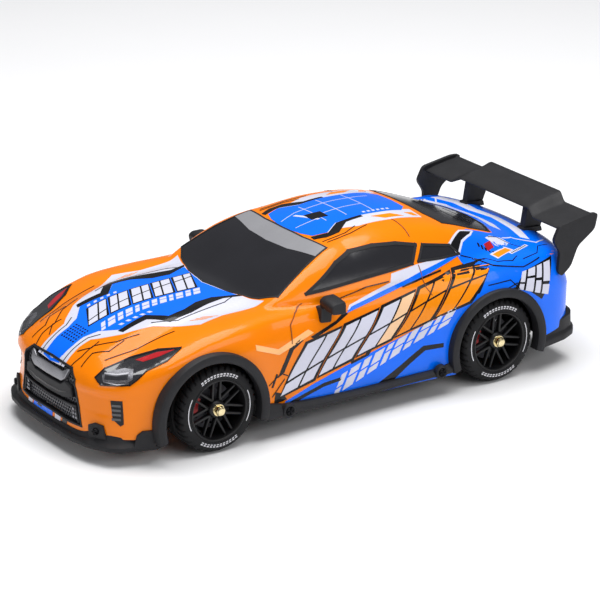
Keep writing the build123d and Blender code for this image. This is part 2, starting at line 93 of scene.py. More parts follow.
def material(name, code, shade=0.06, rough=(0.3, 0.4), patch_mm=9.0, bump_mm=0.6, bump=0.05,
             shader=None):
    """Surface finish: colour drifting by shade over patch_mm, roughness between two values,
    and a fine relief of grain bump_mm. shader sets the Principled sockets that are the same all over."""
    result = bpy.data.materials.new(name)
    result.use_nodes = True
    tree = result.node_tree
    bsdf = tree.nodes["Principled BSDF"]
    for key, value in (shader or {}).items():
        bsdf.inputs[key].default_value = value
    place = add(tree, "ShaderNodeTexCoord")
    patches = add(tree, "ShaderNodeTexNoise", {"Scale": 1 / (patch_mm * MM), "Detail": 3.0},
                  Vector=(place, "Object"))
    grain = add(tree, "ShaderNodeTexNoise", {"Scale": 1 / (bump_mm * MM), "Detail": 2.0},
                Vector=(place, "Object"))
    base = hex_rgb(code)
    dark = tuple(c * (1 - shade) for c in base[:3]) + (1.0,)
    light = tuple(min(1.0, c * (1 + shade)) for c in base[:3]) + (1.0,)
    ramp = add(tree, "ShaderNodeValToRGB", None, Fac=(patches, "Fac"))
    ramp.color_ramp.elements[0].color = dark
    ramp.color_ramp.elements[0].position = 0.3
    ramp.color_ramp.elements[1].color = light
    ramp.color_ramp.elements[1].position = 0.7
    tree.links.new(ramp.outputs["Color"], bsdf.inputs["Base Color"])
    level = add(tree, "ShaderNodeMapRange", {"To Min": rough[0], "To Max": rough[1]}, Value=(grain, "Fac"))
    tree.links.new(level.outputs["Result"], bsdf.inputs["Roughness"])
    relief = add(tree, "ShaderNodeBump", {"Strength": bump, "Distance": bump_mm * MM * 0.5},
                 Height=(grain, "Fac"))
    tree.links.new(relief.outputs["Normal"], bsdf.inputs["Normal"])
    return result


LACQUER = {"Coat Weight": 0.32, "Coat Roughness": 0.05, "Specular IOR Level": 0.12}


def lacquered(name, code, shade=0.04, rough=(0.24, 0.3)):
    """A colour under clear lacquer, with a very fine orange peel."""
    return material(name, code, shade, rough, 18, 2.2, 0.006, LACQUER)


# Lacquered ABS: deep gloss.
paint_orange = lacquered("orange_lacquer_abs", "#F27F00", 0.02, (0.22, 0.28))
# Printed vinyl under the same lacquer: the livery's blue, white, black, peach, amber and light orange.
vinyl_blue = lacquered("blue_vinyl", "#006CF8", 0.03, (0.22, 0.28))
vinyl_pale = lacquered("pale_vinyl", "#CFD0E0", 0.02)
vinyl_black = lacquered("black_vinyl", "#141417", 0.10)
vinyl_peach = lacquered("peach_vinyl", "#F2C79C")
vinyl_amber = lacquered("amber_vinyl", "#F08A05")
vinyl_light = lacquered("light_orange_vinyl", "#FDBE7C")
# Panel gaps: shadowed bare plastic.
gap_dark = material("panel_gap", "#7A3C06", 0.10, (0.5, 0.6), 6, 0.8, 0.05)
# Spark-eroded matte ABS: fine even grain that breaks up highlights.
trim_black = material("matte_black_abs", "#1D1D20", 0.12, (0.48, 0.64), 7, 0.45, 0.35,
                      {"Specular IOR Level": 0.3})
# Tinted polycarbonate panes, smooth and dark; a darker sheet of painted shade behind the grille.
window_tint = material("tinted_polycarbonate", "#222226", 0.10, (0.14, 0.2), 25, 2.0, 0.01,
                       {"Specular IOR Level": 0.5})
shade_sheet = material("painted_shade_polycarbonate", "#17171A", 0.10, (0.12, 0.18), 25, 2.0, 0.01, LACQUER)
# Grey translucent film along the windscreen's top.
sun_strip = material("grey_sun_strip_film", "#8C8C90", 0.04, (0.3, 0.4), 12, 1.0, 0.02, {"Coat Weight": 0.4})
# Smoked and red lamp lenses, near mirror smooth.
lens_smoke = material("smoked_lens", "#26262A", 0.15, (0.08, 0.14), 8, 1.5, 0.02,
                      {"Coat Weight": 1.0, "Coat Roughness": 0.03})
lens_red = material("red_lens", "#B3101C", 0.15, (0.12, 0.2), 5, 0.8, 0.06,
                    {"Coat Weight": 0.8, "Coat Roughness": 0.05})
# Vacuum-metallised lamp reflector, mottled.
reflector = material("lamp_reflector", "#77777C", 0.25, (0.16, 0.34), 3, 0.9, 0.12, {"Metallic": 0.6})
# Grey moulded grille mesh and the satin-plated bar across it.
mesh_grey = material("grey_grille_mesh", "#55555A", 0.08, (0.3, 0.4), 6, 0.6, 0.03)
grille_metal = material("satin_grille_bar", "#8E8E93", 0.10, (0.22, 0.38), 6, 0.5, 0.12, {"Metallic": 0.7})
# Moulded tyre rubber with a fine dusty grain, and the white ink printed on its side wall.
rubber = material("moulded_rubber", "#161618", 0.14, (0.55, 0.75), 6, 0.35, 0.45,
                  {"Specular IOR Level": 0.25})
ink_white = material("white_tyre_ink", "#D9D9DE", 0.06, (0.5, 0.65), 4, 0.35, 0.3)
# Satin black moulded rims.
rim_black = material("satin_black_rim", "#0E0E10", 0.12, (0.3, 0.42), 5, 0.5, 0.12,
                     {"Specular IOR Level": 0.35})
# Turned brass nuts and pinion: tight bright grain.
brass = material("turned_brass", "#E3D3A6", 0.10, (0.16, 0.3), 2, 0.25, 0.15, {"Metallic": 1.0})
# Ground steel pins, springs and shafts; duller brake discs; black oxide screws.
steel = material("bright_steel", "#A9A9AE", 0.10, (0.22, 0.36), 3, 0.3, 0.15, {"Metallic": 1.0})
disc_steel = material("dull_brake_steel", "#3E3E42", 0.12, (0.35, 0.5), 3, 0.3, 0.2, {"Metallic": 0.9})
screw_black = material("black_oxide_steel", "#1C1C1F", 0.12, (0.3, 0.45), 2, 0.3, 0.15, {"Metallic": 0.9})
# Painted red calipers.
caliper_red = material("red_caliper_paint", "#B8101A", 0.10, (0.3, 0.42), 3, 0.4, 0.12)
# Glass-filled nylon chassis parts, dull and slightly grainy.
nylon = material("moulded_nylon", "#28282B", 0.10, (0.45, 0.6), 8, 0.4, 0.3)
# Servo and receiver cases, shrink wrap round the battery, and white acetal gears and levers.
servo_blue = material("servo_case_plastic", "#2B3550", 0.08, (0.35, 0.5), 8, 0.4, 0.2)
wrap_blue = material("battery_shrink_wrap", "#2456B8", 0.08, (0.25, 0.38), 10, 1.5, 0.1, {"Coat Weight": 0.3})
acetal = material("white_acetal", "#DAD8D0", 0.04, (0.35, 0.5), 4, 0.3, 0.15)


# ---------------------------------------------------------------- meshes
SHARP = math.radians(38)          # faces that meet at more than this keep a crisp edge
ROUNDED = math.radians(35)        # edges sharper than this are rounded where a piece asks for it


def round_edges(piece, width):
    """Rounds a piece's sharp edges by a width in millimetres."""
    edge = piece.modifiers.new("edge", "BEVEL")
    edge.width = width * MM
    edge.segments = 2
    edge.limit_method = "ANGLE"
    edge.angle_limit = ROUNDED


def put(name, points, faces, skin, body, slot, smooth=True, replaces=(), bevel=0.0, solid=0.0):
    """Makes a piece from points in millimetres. Bevel and solid are widths in millimetres."""
    mesh = bpy.data.meshes.new(name)
    mesh.from_pydata((np.asarray(points, float) * MM).tolist(), [], [list(map(int, f)) for f in faces])
    mesh.validate()
    mesh.polygons.foreach_set("use_smooth", np.full(len(mesh.polygons), smooth))
    mesh.update()
    mesh.set_sharp_from_angle(angle=SHARP)
    used = np.zeros(len(mesh.loops), int)
    mesh.loops.foreach_get("edge_index", used)
    sharp = np.zeros(len(mesh.edges), bool)
    mesh.edges.foreach_get("use_edge_sharp", sharp)
    sharp |= np.bincount(used, minlength=len(mesh.edges)) == 1
    mesh.edges.foreach_set("use_edge_sharp", sharp)
    piece = bpy.data.objects.new(name, mesh)
    bpy.context.scene.collection.objects.link(piece)
    mesh.materials.append(skin)
    if solid:
        wall = piece.modifiers.new("wall", "SOLIDIFY")
        wall.thickness = solid * MM
        wall.offset = -1.0
    if bevel:
        round_edges(piece, bevel)
    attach(piece, body)
    if replaces:
        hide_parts(*replaces)
    return piece


def grid_faces(rows, columns, wrap_rows=False, wrap_columns=False):
    """Quads of a rows by columns grid, closed round either way where asked."""
    r = np.arange(rows if wrap_rows else rows - 1)
    c = np.arange(columns if wrap_columns else columns - 1)
    r, c = np.meshgrid(r, c, indexing="ij")
    r2, c2 = (r + 1) % rows, (c + 1) % columns
    return np.stack([r * columns + c, r2 * columns + c, r2 * columns + c2, r * columns + c2],
                    -1).reshape(-1, 4)


def end_faces(rows, columns):
    """The first and last section of a sweep, as two faces."""
    return [list(range(columns)), list(range((rows - 1) * columns, rows * columns))]


def sweep(points):
    """Closed sections in rows of points, joined and closed at both ends."""
    rows, columns = points.shape[:2]
    faces = grid_faces(rows, columns, False, True).tolist()
    return points.reshape(-1, 3), faces + end_faces(rows, columns)


def outward(points, faces):
    """Turns a closed mesh's faces so that its enclosed volume is positive."""
    p = np.asarray(points, float)
    f = np.asarray(faces)
    a, b, c = p[f[:, 0]], p[f[:, 1]], p[f[:, 2]]
    volume = np.einsum("ij,ij->", a - p.mean(0), np.cross(b - p.mean(0), c - p.mean(0)))
    if f.shape[1] == 4:
        d = p[f[:, 3]]
        volume += np.einsum("ij,ij->", a - p.mean(0), np.cross(c - p.mean(0), d - p.mean(0)))
    return f if volume > 0 else f[:, ::-1]


def merge(*meshes):
    """Joins (points, faces) pairs. Faces may be triangles or quads."""
    points, faces, start = [], [], 0
    for p, f in meshes:
        points.append(np.asarray(p, float))
        faces += [[int(i) + start for i in face] for face in f]
        start += len(p)
    return np.vstack(points), faces


def flip_y(mesh):
    """The same part on the other side of the car."""
    points, faces = mesh
    return np.asarray(points) * [1, -1, 1], [list(f)[::-1] for f in faces]


def inside(outline, p, q):
    """Even-odd test of points (p, q) against a closed outline."""
    o = np.asarray(outline, float)
    hit = np.zeros(np.shape(p), bool)
    for (a, b), (c, d) in zip(o, np.roll(o, -1, 0)):
        if b != d:
            hit ^= ((b > q) != (d > q)) & (p < (c - a) * (q - b) / (d - b) + a)
    return hit


def well_inside(outline, p, q, margin):
    """Points inside an outline that stay inside when moved by the margin along either axis."""
    result = np.ones(np.shape(p), bool)
    for dp, dq in ((margin, 0), (-margin, 0), (0, margin), (0, -margin)):
        result &= inside(outline, p + dp, q + dq)
    return result


def fill(outline, step=1.7):
    """Triangles of a flat outline, with edge and inner points about step apart."""
    o = np.asarray(outline, float)
    edge = []
    for a, b in zip(o, np.roll(o, -1, 0)):
        count = max(1, int(np.hypot(*(b - a)) / step))
        edge.append(a + (b - a) * np.linspace(0, 1, count, endpoint=False)[:, None])
    edge = np.vstack(edge)
    low, high = o.min(0), o.max(0)
    p, q = np.meshgrid(np.arange(low[0] + step / 2, high[0], step),
                       np.arange(low[1] + step / 2, high[1], step))
    keep = well_inside(o, p, q, step * 0.45)
    points = np.vstack([edge, np.stack([p[keep], q[keep]], -1)])
    loop = list(range(len(edge)))
    made = delaunay_2d_cdt([Vector(v) for v in points.tolist()], [], [loop], 1, 1e-5)
    return np.array([tuple(v) for v in made[0]]), [list(f) for f in made[2]]


def ribbon(points, width):
    """Outlines of the straight strips that make a line of that width, one for each run."""
    strips = []
    p = np.asarray(points, float)
    for a, b in zip(p[:-1], p[1:]):
        along = (b - a) / np.hypot(*(b - a)) * width / 2
        across = np.array([-along[1], along[0]])
        strips.append([a - along + across, b + along + across, b + along - across, a - along - across])
    return strips


def closed(points):
    """An outline as a line that comes back to its first point."""
    return list(points) + [points[0]]


def lines(routes, width):
    """Ribbons along several routes, as one list of outlines."""
    return [strip for route in routes for strip in ribbon(route, width)]


def repeated(outline, count, along, across=0.0):
    """An outline and its copies, each moved on by the same step."""
    return [[(p + along * i, q + across * i) for p, q in outline] for i in range(count)]


# ---------------------------------------------------------------- body form
def curve(x, xs, ys):
    """Smooth curve through given points: cubic runs whose slopes are harmonic means."""
    xs, ys = np.asarray(xs, float), np.asarray(ys, float)
    if xs[0] > xs[-1]:
        xs, ys = xs[::-1], ys[::-1]
    run, rise = np.diff(xs), np.diff(ys) / np.diff(xs)
    slope = np.empty_like(ys)
    slope[0], slope[-1] = rise[0], rise[-1]
    same = rise[:-1] * rise[1:] > 0
    total = np.where(same, rise[:-1] + rise[1:], 1)
    slope[1:-1] = np.where(same, 2 * rise[:-1] * rise[1:] / total, 0)
    x = np.clip(x, xs[0], xs[-1])
    i = np.clip(np.searchsorted(xs, x) - 1, 0, len(run) - 1)
    t = (x - xs[i]) / run[i]
    return (ys[i] * (2 * t**3 - 3 * t**2 + 1) + slope[i] * run[i] * (t**3 - 2 * t**2 + t)
            + ys[i + 1] * (3 * t**2 - 2 * t**3) + slope[i + 1] * run[i] * (t**3 - t**2))


def soft_max(a, b, radius):
    """The larger of two values, rounded over about radius where they are alike: (a+b+sqrt((a-b)^2+r^2))/2."""
    return 0.5 * (a + b + np.sqrt((a - b) ** 2 + radius**2))


def soft_min(a, b, radius):
    """The smaller of two values, rounded in the same way: (a+b-sqrt((a-b)^2+r^2))/2."""
    return 0.5 * (a + b - np.sqrt((a - b) ** 2 + radius**2))


def hump(t):
    """Bell curve exp(-t^2)."""
    return np.exp(-t * t)


def top_z(x, y):
    """Height of bonnet, wings and boot lid: a centre line, a fall to the wings and a soft valley."""
    y = np.abs(y)
    centre = curve(x, [150, 146, 140, 135, 128, 123, 117, 110, 102, 88, 65, 50, 0, -60, -100, -115, -128,
                       -136, -144], [40, 44.5, 49.5, 52.5, 55.5, 57.3, 59.4, 61.4, 63, 64.5, 65.3, 65.6,
                                     65.4, 65.5, 66, 66.8, 67.8, 66.5, 62])
    edge = curve(x, [150, 142, 135, 125, 112, 100, 90, 75, 45, 0, -40, -70, -92, -112, -130, -142],
                 [-2, -4, -4.8, -4.6, -3.6, -2, -0.6, 0.2, 0.6, 1, 1.5, 2.6, 3, 1.5, 0, -1.5])
    ahead = curve(x, [150, 140, 118, 60, 35, 20], [0, 0.5, 1, 1, 0.3, 0])
    dip = (0.5 * hump((y - 28) / 5) - 1.2 * hump((y - 38) / 6)) * ahead
    return centre + edge * curve(y, [0, 20, 36, 50, 70], [0, 0.05, 0.45, 1, 1.05]) + dip - 0.001 * y**2


def side_y(x, z):
    """Half width: full at the belt, drawn in above it and slightly along the door."""
    plan = curve(x, [150, 146, 140, 130, 118, 100, 87, 66, 50, 30, 0, -30, -52, -66, -87, -105, -120, -132,
                     -142], [36, 43.5, 50.2, 57, 61.4, 64.2, 64.8, 63.5, 61.6, 61.2, 61.2, 61.4, 62.5, 64,
                             65.8, 65.7, 64.6, 62.8, 59.6])
    waist = hump((z - 33) / 9) * curve(x, [60, 40, -30, -52], [0, 1, 1, 0])
    return plan - 0.050 * np.clip(z - 46, 0, None) ** 1.62 - waist


def nose_x(y, z):
    """Front face: curved in plan, with a ledge under the headlights, leaning back above, tucked in below."""
    plan = 149 - curve(np.abs(y), [0, 20, 30, 40, 48, 54, 60, 66], [0, 0.6, 1.9, 4.8, 9.5, 15, 26, 44])
    ledge = 2.3 / (1 + np.exp((z - 36.0) / 0.6)) * hump((np.abs(y) - 42) / 13) * np.clip((z - 18) / 8, 0, 1)
    return plan - ledge - 0.10 * np.clip(z - 36, 0, None) ** 1.45 - 0.05 * np.clip(24 - z, 0, None)


def tail_x(y, z):
    """Rear face: nearly flat, rounded at the corners, more so near the deck."""
    y = np.abs(y)
    plan = -143 + curve(y, [0, 20, 40, 50, 56, 61, 66], [0, 0.3, 1.2, 2.6, 5.0, 11, 22])
    plan += curve(y, [0, 30, 45, 56, 66], [0, 0.6, 3, 7, 9]) * np.clip((z - 45) / 18, 0, 1)
    return plan + np.clip(z - 62, 0, None) * 0.2 + 0.03 * np.clip(45 - z, 0, None)


def roof_z(x, y):
    """Roof line from the foot of the windscreen to the foot of the rear window, with a slight crown."""
    line = curve(x, [62, 52, 41, 25, 3, -15, -30, -45, -60, -75, -92, -108, -122, -130],
                 [58, 63, 69, 77.3, 87.2, 90.4, 91.6, 91, 88.8, 84.8, 78.6, 72.2, 67, 62])
    return line - 0.002 * y**2 * np.clip((24 - x) / 30, 0.05, 1)


def cabin_y(x, z):
    """Half width of the cabin: its foot line in plan, leaning in with height."""
    foot = curve(x, [62, 50, 41, 28, 10, -20, -45, -62, -80, -100, -120],
                 [40, 47, 49.6, 52.4, 54.5, 55.2, 54.4, 53, 50, 45, 38])
    up = np.clip(z - 66, 0, None)
    return foot - up * (0.50 + 0.010 * up)


def body_form(x, y, z):
    """Below zero inside the body: the lower body and the cabin, each a soft intersection, joined softly."""
    lower = soft_max(np.abs(y) - side_y(x, z), z - top_z(x, y), 3.0)
    lower = soft_max(soft_max(lower, x - nose_x(y, z), 2.0), tail_x(y, z) - x, 2.5)
    rail = 4.5 - 2.3 * np.clip((x + 5) / 25, 0, 1)
    cabin = soft_max(np.abs(y) - cabin_y(x, z), z - roof_z(x, y), rail)
    cabin = soft_max(soft_max(cabin, x - 62, 2.0), -125 - x, 2.0)
    return soft_min(lower, cabin, 1.2)


def cast(start, way, reach=130.0):
    """Where rays from inside leave the body form, found by halving the span."""
    start = np.asarray(start, float)
    way = np.broadcast_to(np.asarray(way, float), start.shape)
    low, high = np.zeros(start.shape[:-1]), np.full(start.shape[:-1], reach)
    for _ in range(32):
        middle = (low + high) / 2
        p = start + way * middle[..., None]
        held = body_form(p[..., 0], p[..., 1], p[..., 2]) < 0
        low, high = np.where(held, middle, low), np.where(held, high, middle)
    return start + way * low[..., None]


def form_normal(p, step=0.2):
    """Unit gradient of the body form."""
    x, y, z = p[..., 0], p[..., 1], p[..., 2]
    g = np.stack([body_form(x + step, y, z) - body_form(x - step, y, z),
                  body_form(x, y + step, z) - body_form(x, y - step, z),
                  body_form(x, y, z + step) - body_form(x, y, z - step)], -1)
    return g / np.linalg.norm(g, axis=-1, keepdims=True)


def from_side(p, side=1):
    """(x, z) drawings onto a flank."""
    return cast(np.stack([p[..., 0], 0 * p[..., 0], p[..., 1]], -1), (0, side, 0))


def from_top(p, side=1):
    """(x, y) drawings onto the bonnet, roof and boot lid."""
    return cast(np.stack([p[..., 0], side * p[..., 1], 0 * p[..., 0] + 30], -1), (0, 0, 1))


def from_front(p, side=1):
    """(y, z) drawings onto the nose."""
    return cast(np.stack([0 * p[..., 0] + 90, side * p[..., 0], p[..., 1]], -1), (1, 0, 0))


def from_back(p, side=1):
    """(y, z) drawings onto the tail."""
    return cast(np.stack([0 * p[..., 0] - 90, side * p[..., 0], p[..., 1]], -1), (-1, 0, 0))


CORNER_START = 60.0      # x of the point on the middle line that the corner drawings are cast from


def from_corner(p, side=1):
    """(a, z) drawings onto a front corner, seen at 45 degrees: a runs forward and inward."""
    root = math.sqrt(0.5)
    along = root * p[..., 0] - CORNER_START / 2
    return cast(np.stack([CORNER_START + along, -side * along, p[..., 1]], -1), (root, side * root, 0))


LIFT = 0.12       # how far the lowest sticker stands off the form
LAYER = 0.06      # and how much further each one above it


def drape(outline, view, side=1, lift=LIFT, step=1.7):
    """A flat outline filled with triangles and laid on the body form, lift above it."""
    flat, faces = fill(outline, step)
    spot = view(flat, side)
    normal = form_normal(spot)
    points = spot + normal * lift
    f = np.array([face[:3] for face in faces if len(face) == 3])
    turn = np.cross(points[f[:, 1]] - points[f[:, 0]], points[f[:, 2]] - points[f[:, 0]])
    wrong = np.einsum("ij,ij->i", turn, normal[f[:, 0]]) < 0
    f[wrong] = f[wrong][:, ::-1]
    return points, f


def clear_of_arches(points, faces):
    """Leaves out the triangles that would cross a wheel opening. The flares cover the edge."""
    middle = points[np.array(faces)].mean(1)
    keep = np.ones(len(middle), bool)
    for x, z, opening, outer in (ARCH_FRONT, ARCH_REAR):
        keep &= np.hypot(middle[:, 0] - x, middle[:, 2] - z) > (opening + outer) / 2 + 0.6
    return [face for face, kept in zip(faces, keep) if kept]


def sticker(name, outlines, view, skin, layer=0, sides=(1, -1), solid=0.15, slot="shell_paint", replaces=(),
            lift=None, step=1.7, bevel=0.0):
    """One piece from several outlines laid on the body, on one or both sides of the car."""
    height = LIFT + LAYER * layer if lift is None else lift
    laid = [drape(o, view, s, height, step) for o in outlines for s in sides]
    points, faces = merge(*laid)
    if view is from_side:
        faces = clear_of_arches(points, faces)
    return put(name, points, faces, skin, "shell", slot, True, replaces, bevel, solid)


# ---------------------------------------------------------------- openings in the body
WINDSCREEN = [(56, 0), (52.5, 20), (46, 38), (40.5, 46.6), (24, 42.2), (4, 36.3), (6.5, 18), (7, 0)]
SUN_STRIP = [(17.5, 0), (16.5, 18), (12.2, 38.9), (3.6, 36.3), (6.3, 18), (6.8, 0)]
DOOR_GLASS = [(26.5, 68.5), (17, 73.2), (5, 79.4), (-5.5, 82.6), (-20, 83.2), (-34, 82), (-45.5, 79.4),
              (-39.5, 72.0), (-10, 70.6)]
QUARTER_GLASS = [(-49.5, 78.8), (-43.5, 72.2), (-58, 71.0), (-71, 70.6), (-66.5, 75.4)]
REAR_GLASS = [(-66, 0), (-67, 22), (-71, 33), (-88, 33), (-104, 30.5), (-109, 18), (-110.5, 0)]
GRILLE = [(0, 44.2), (19.5, 43.6), (25.0, 39.5), (29.9, 16.2), (18, 15.8), (0, 16.6)]
HEADLIGHT = [(74.5, 43.5), (70.7, 47), (59.4, 51.2), (46, 55), (34, 56.8), (39, 52.8), (48, 49),
             (52.3, 45), (55.5, 42.6), (70.7, 41)]


def both_halves(half):
    """Half outline (along, across) closed with its mirror image."""
    return list(half) + [(a, -b) for a, b in reversed(half) if b != 0]


def both_halves_front(half):
    """Half outline (across, up) closed with its mirror image."""
    return list(half) + [(-a, b) for a, b in reversed(half) if a != 0]


WINDSCREEN_FULL = both_halves(WINDSCREEN)
REAR_FULL = both_halves(REAR_GLASS)
GRILLE_FULL = both_halves_front(GRILLE)


KEEL_REAR, KEEL_FRONT, KEEL_Z = -92, 98, 34


def body_surface(rows, columns):
    """The body form met by rays from a keel line: across it along the middle, fanned at nose and tail."""
    u = np.linspace(0, 1, rows)
    end = 0.19                            # share of the rows that fan out over the tail, and over the nose
    keel = np.interp(u, [0, end, 1 - end, 1], [KEEL_REAR, KEEL_REAR, KEEL_FRONT, KEEL_FRONT])
    fan = np.radians(np.interp(u, [0, end, 1 - end, 1], [-90, 0, 0, 90]))
    swing = np.linspace(-np.pi, np.pi, columns, endpoint=False)
    start = np.zeros((rows, columns, 3))
    start[..., 0] = keel[:, None]
    start[..., 2] = KEEL_Z
    way = np.stack([np.sin(fan)[:, None] + 0 * swing, np.cos(fan)[:, None] * np.sin(swing),
                    np.cos(fan)[:, None] * np.cos(swing)], -1)
    return cast(start, way)


def sill_z(x):
    """Lower edge of the painted body."""
    return curve(x, [150, 135, 110, 56, -56, -112, -120, -144],
                 [13.2, 13.8, 14.5, 13.5, 12.5, 20, 24.5, 27.0])


def nearest_on(outline, p, q):
    """Nearest points of a closed outline."""
    o = np.asarray(outline, float)
    spot = np.stack([p, q], -1)
    best, found = np.full(len(spot), np.inf), spot.copy()
    for a, b in zip(o, np.roll(o, -1, 0)):
        t = np.clip(((spot - a) @ (b - a)) / ((b - a) @ (b - a)), 0, 1)
        foot = a + t[:, None] * (b - a)
        away = np.hypot(*(spot - foot).T)
        closer = away < best
        best[closer], found[closer] = away[closer], foot[closer]
    return found


def circle(x, z, radius, count=72):
    """Points of a circle in the side view."""
    t = np.linspace(0, 2 * np.pi, count, endpoint=False)
    return np.stack([x + radius * np.cos(t), z + radius * np.sin(t)], -1)


BODY_ROWS, BODY_COLUMNS = 250, 300
SHELL_WALL = 1.3


def build_body():
    """The painted shell: the form's grid with its openings cut and their edges drawn to the outlines."""
    p = body_surface(BODY_ROWS, BODY_COLUMNS).reshape(-1, 3)
    faces = grid_faces(BODY_ROWS, BODY_COLUMNS, False, True)
    x, y, z = p.T
    flank = (np.abs(y) > 36) & (z > 66)
    arches = [(circle(ax, az, (opening + outer) / 2 + 0.4), from_side, np.abs(y) > 40)
              for ax, az, opening, outer in (ARCH_FRONT, ARCH_REAR)]
    cuts = [(WINDSCREEN_FULL, from_top, z > 60), (REAR_FULL, from_top, z > 60),
            (DOOR_GLASS, from_side, flank), (QUARTER_GLASS, from_side, flank),
            (GRILLE_FULL, from_front, x > 138)] + arches
    for outline, view, where in cuts:
        across, up = {from_top: (x, y), from_side: (x, z), from_front: (y, z)}[view]
        hit = where & inside(outline, across, up)
        faces = faces[~hit[faces].all(1)]
        edge = hit & np.isin(np.arange(len(p)), faces)
        spot = nearest_on(outline, across[edge], up[edge])
        if view is from_side:
            for side in (1, -1):
                there = np.sign(y[edge]) == side
                index = np.flatnonzero(edge)[there]
                p[index] = from_side(spot[there], side)
        else:
            p[np.flatnonzero(edge)] = view(spot)
    low = p[:, 2] < sill_z(p[:, 0])
    faces = faces[~low[faces].all(1)]
    edge = low & np.isin(np.arange(len(p)), faces)
    p[edge, 2] = sill_z(p[edge, 0])
    used = np.unique(faces)
    lookup = np.zeros(len(p), int)
    lookup[used] = np.arange(len(used))
    p, faces = p[used], lookup[faces]
    a, b, c = p[faces[:, 0]], p[faces[:, 1]], p[faces[:, 2]]
    if np.einsum("ij,ij->", np.cross(b - a, c - a), form_normal(a)) < 0:
        faces = faces[:, ::-1]
    piece = put("painted_body", p, faces, paint_orange, "shell", "shell_paint", True, ("body_shell",),
                solid=SHELL_WALL)
    work = bmesh.new()
    work.from_mesh(piece.data)
    bmesh.ops.remove_doubles(work, verts=work.verts, dist=0.005 * MM)    # closes the pole at the tail
    work.to_mesh(piece.data)
    work.free()


build_body()

# Panes sit in the openings with a rubber surround over the joint.
sticker("windscreen_pane", [WINDSCREEN_FULL], from_top, window_tint, sides=(1,), solid=1.2,
        slot="tinted_window", replaces=("windscreen",), lift=0.05)
sticker("sun_strip", [both_halves(SUN_STRIP)], from_top, sun_strip, 2, sides=(1,), slot="tinted_window")
sticker("side_panes", [DOOR_GLASS, QUARTER_GLASS], from_side, window_tint, solid=1.2, slot="tinted_window",
        replaces=("side_windows",), lift=0.05)
sticker("rear_pane", [REAR_FULL], from_top, window_tint, sides=(1,), solid=1.2, slot="tinted_window",
        replaces=("rear_window",), lift=0.05)
sticker("windscreen_surround", ribbon(closed(WINDSCREEN_FULL), 0.9), from_top, trim_black, 3, sides=(1,),
        slot="black_trim", solid=0.3)
sticker("side_surrounds", ribbon(closed(DOOR_GLASS), 1.5) + ribbon(closed(QUARTER_GLASS), 1.2), from_side,
        trim_black, 3, slot="black_trim", solid=0.3)
sticker("rear_surround", ribbon(closed(REAR_FULL), 1.2), from_top, trim_black, 3, sides=(1,),
        slot="black_trim", solid=0.3)

# ---------------------------------------------------------------- livery
PALE_BONNET = [(147, 0), (146.5, 13), (137, 12.5), (131, 13.5), (128, 17), (119, 25), (112, 28),
               (105, 30.5), (97, 35.5), (85, 44), (70, 40.5), (46, 42), (49, 33), (53.2, 20), (56.5, 0)]
BLUE_BONNET = [(147, 0), (146.3, 8), (143, 7.2), (138, 8), (132, 8), (125, 11), (118, 20), (110, 20),
               (102, 18.5), (94, 28), (84, 27), (74, 22), (64, 21), (52, 25.5), (55, 12), (57, 0)]
BLACK_BONNET = [(119, 20.3), (102, 18.5), (94, 28.2), (84, 26.6), (74, 21.5), (64, 20.5), (51.5, 26),
                (50.5, 28.4), (60, 25.6), (70, 27.4), (82, 31), (96, 32.6), (104, 23.2), (118, 23.6)]
sticker("bonnet_pale", [both_halves(PALE_BONNET)], from_top, vinyl_pale, 0, sides=(1,))
sticker("bonnet_blue", [both_halves(BLUE_BONNET)], from_top, vinyl_blue, 1, sides=(1,))
sticker("bonnet_black", [BLACK_BONNET], from_top, vinyl_black, 2)


def along_row(x, t, low, high, lean):
    """Point a share t of the way up a leaning row, from its low line to its high line."""
    return (x - lean * t, low(x) + (high(x - lean) - low(x)) * t)


def slanted_row(first, width, gap, count, low, high, lean, slit=0.05):
    """Leaning bars of changing width towards the tail, each cut across by a slit at a changing height."""
    def at(x, t):
        return along_row(x, t, low, high, lean)

    bars, front = [], first
    for i in range(count):
        back = front - width * (0.72, 1.22, 0.9, 1.16)[i % 4]
        cut = (0.36, 0.62, 0.5)[i % 3]
        bars.append([at(front, 0), at(back, 0), at(back, cut - slit), at(front, cut - slit)])
        bars.append([at(front, cut + slit), at(back, cut + slit), at(back, 1), at(front, 1)])
        front = back - gap
    return bars


def paired_row(first, width, gap, space, groups, low, high, lean, margin):
    """Pairs of leaning bars cut by one rising slash, and the dark plate behind each pair."""
    def at(x, t):
        return along_row(x, t, low, high, lean)

    bars, plates, front = [], [], first
    for i in range(groups):
        start = front
        for k in range(2):
            back = front - width * (1.12, 0.88)[(i + k) % 2]
            cut = 0.28 + 0.46 * (2 * i + k) / (2 * groups - 1)
            bars += [[[at(front, 0), at(back, 0), at(back, cut - 0.01), at(front, cut - 0.06)],
                      [at(front, cut), at(back, cut + 0.05), at(back, 1), at(front, 1)]]]
            end, front = back, back - gap
        plates.append([(start + margin, low(start) - margin), (end - margin, low(end) - margin),
                       (end - lean - margin, high(end - lean) + margin),
                       (start - lean + margin, high(start - lean) + margin)])
        front = end - space
    return bars, plates


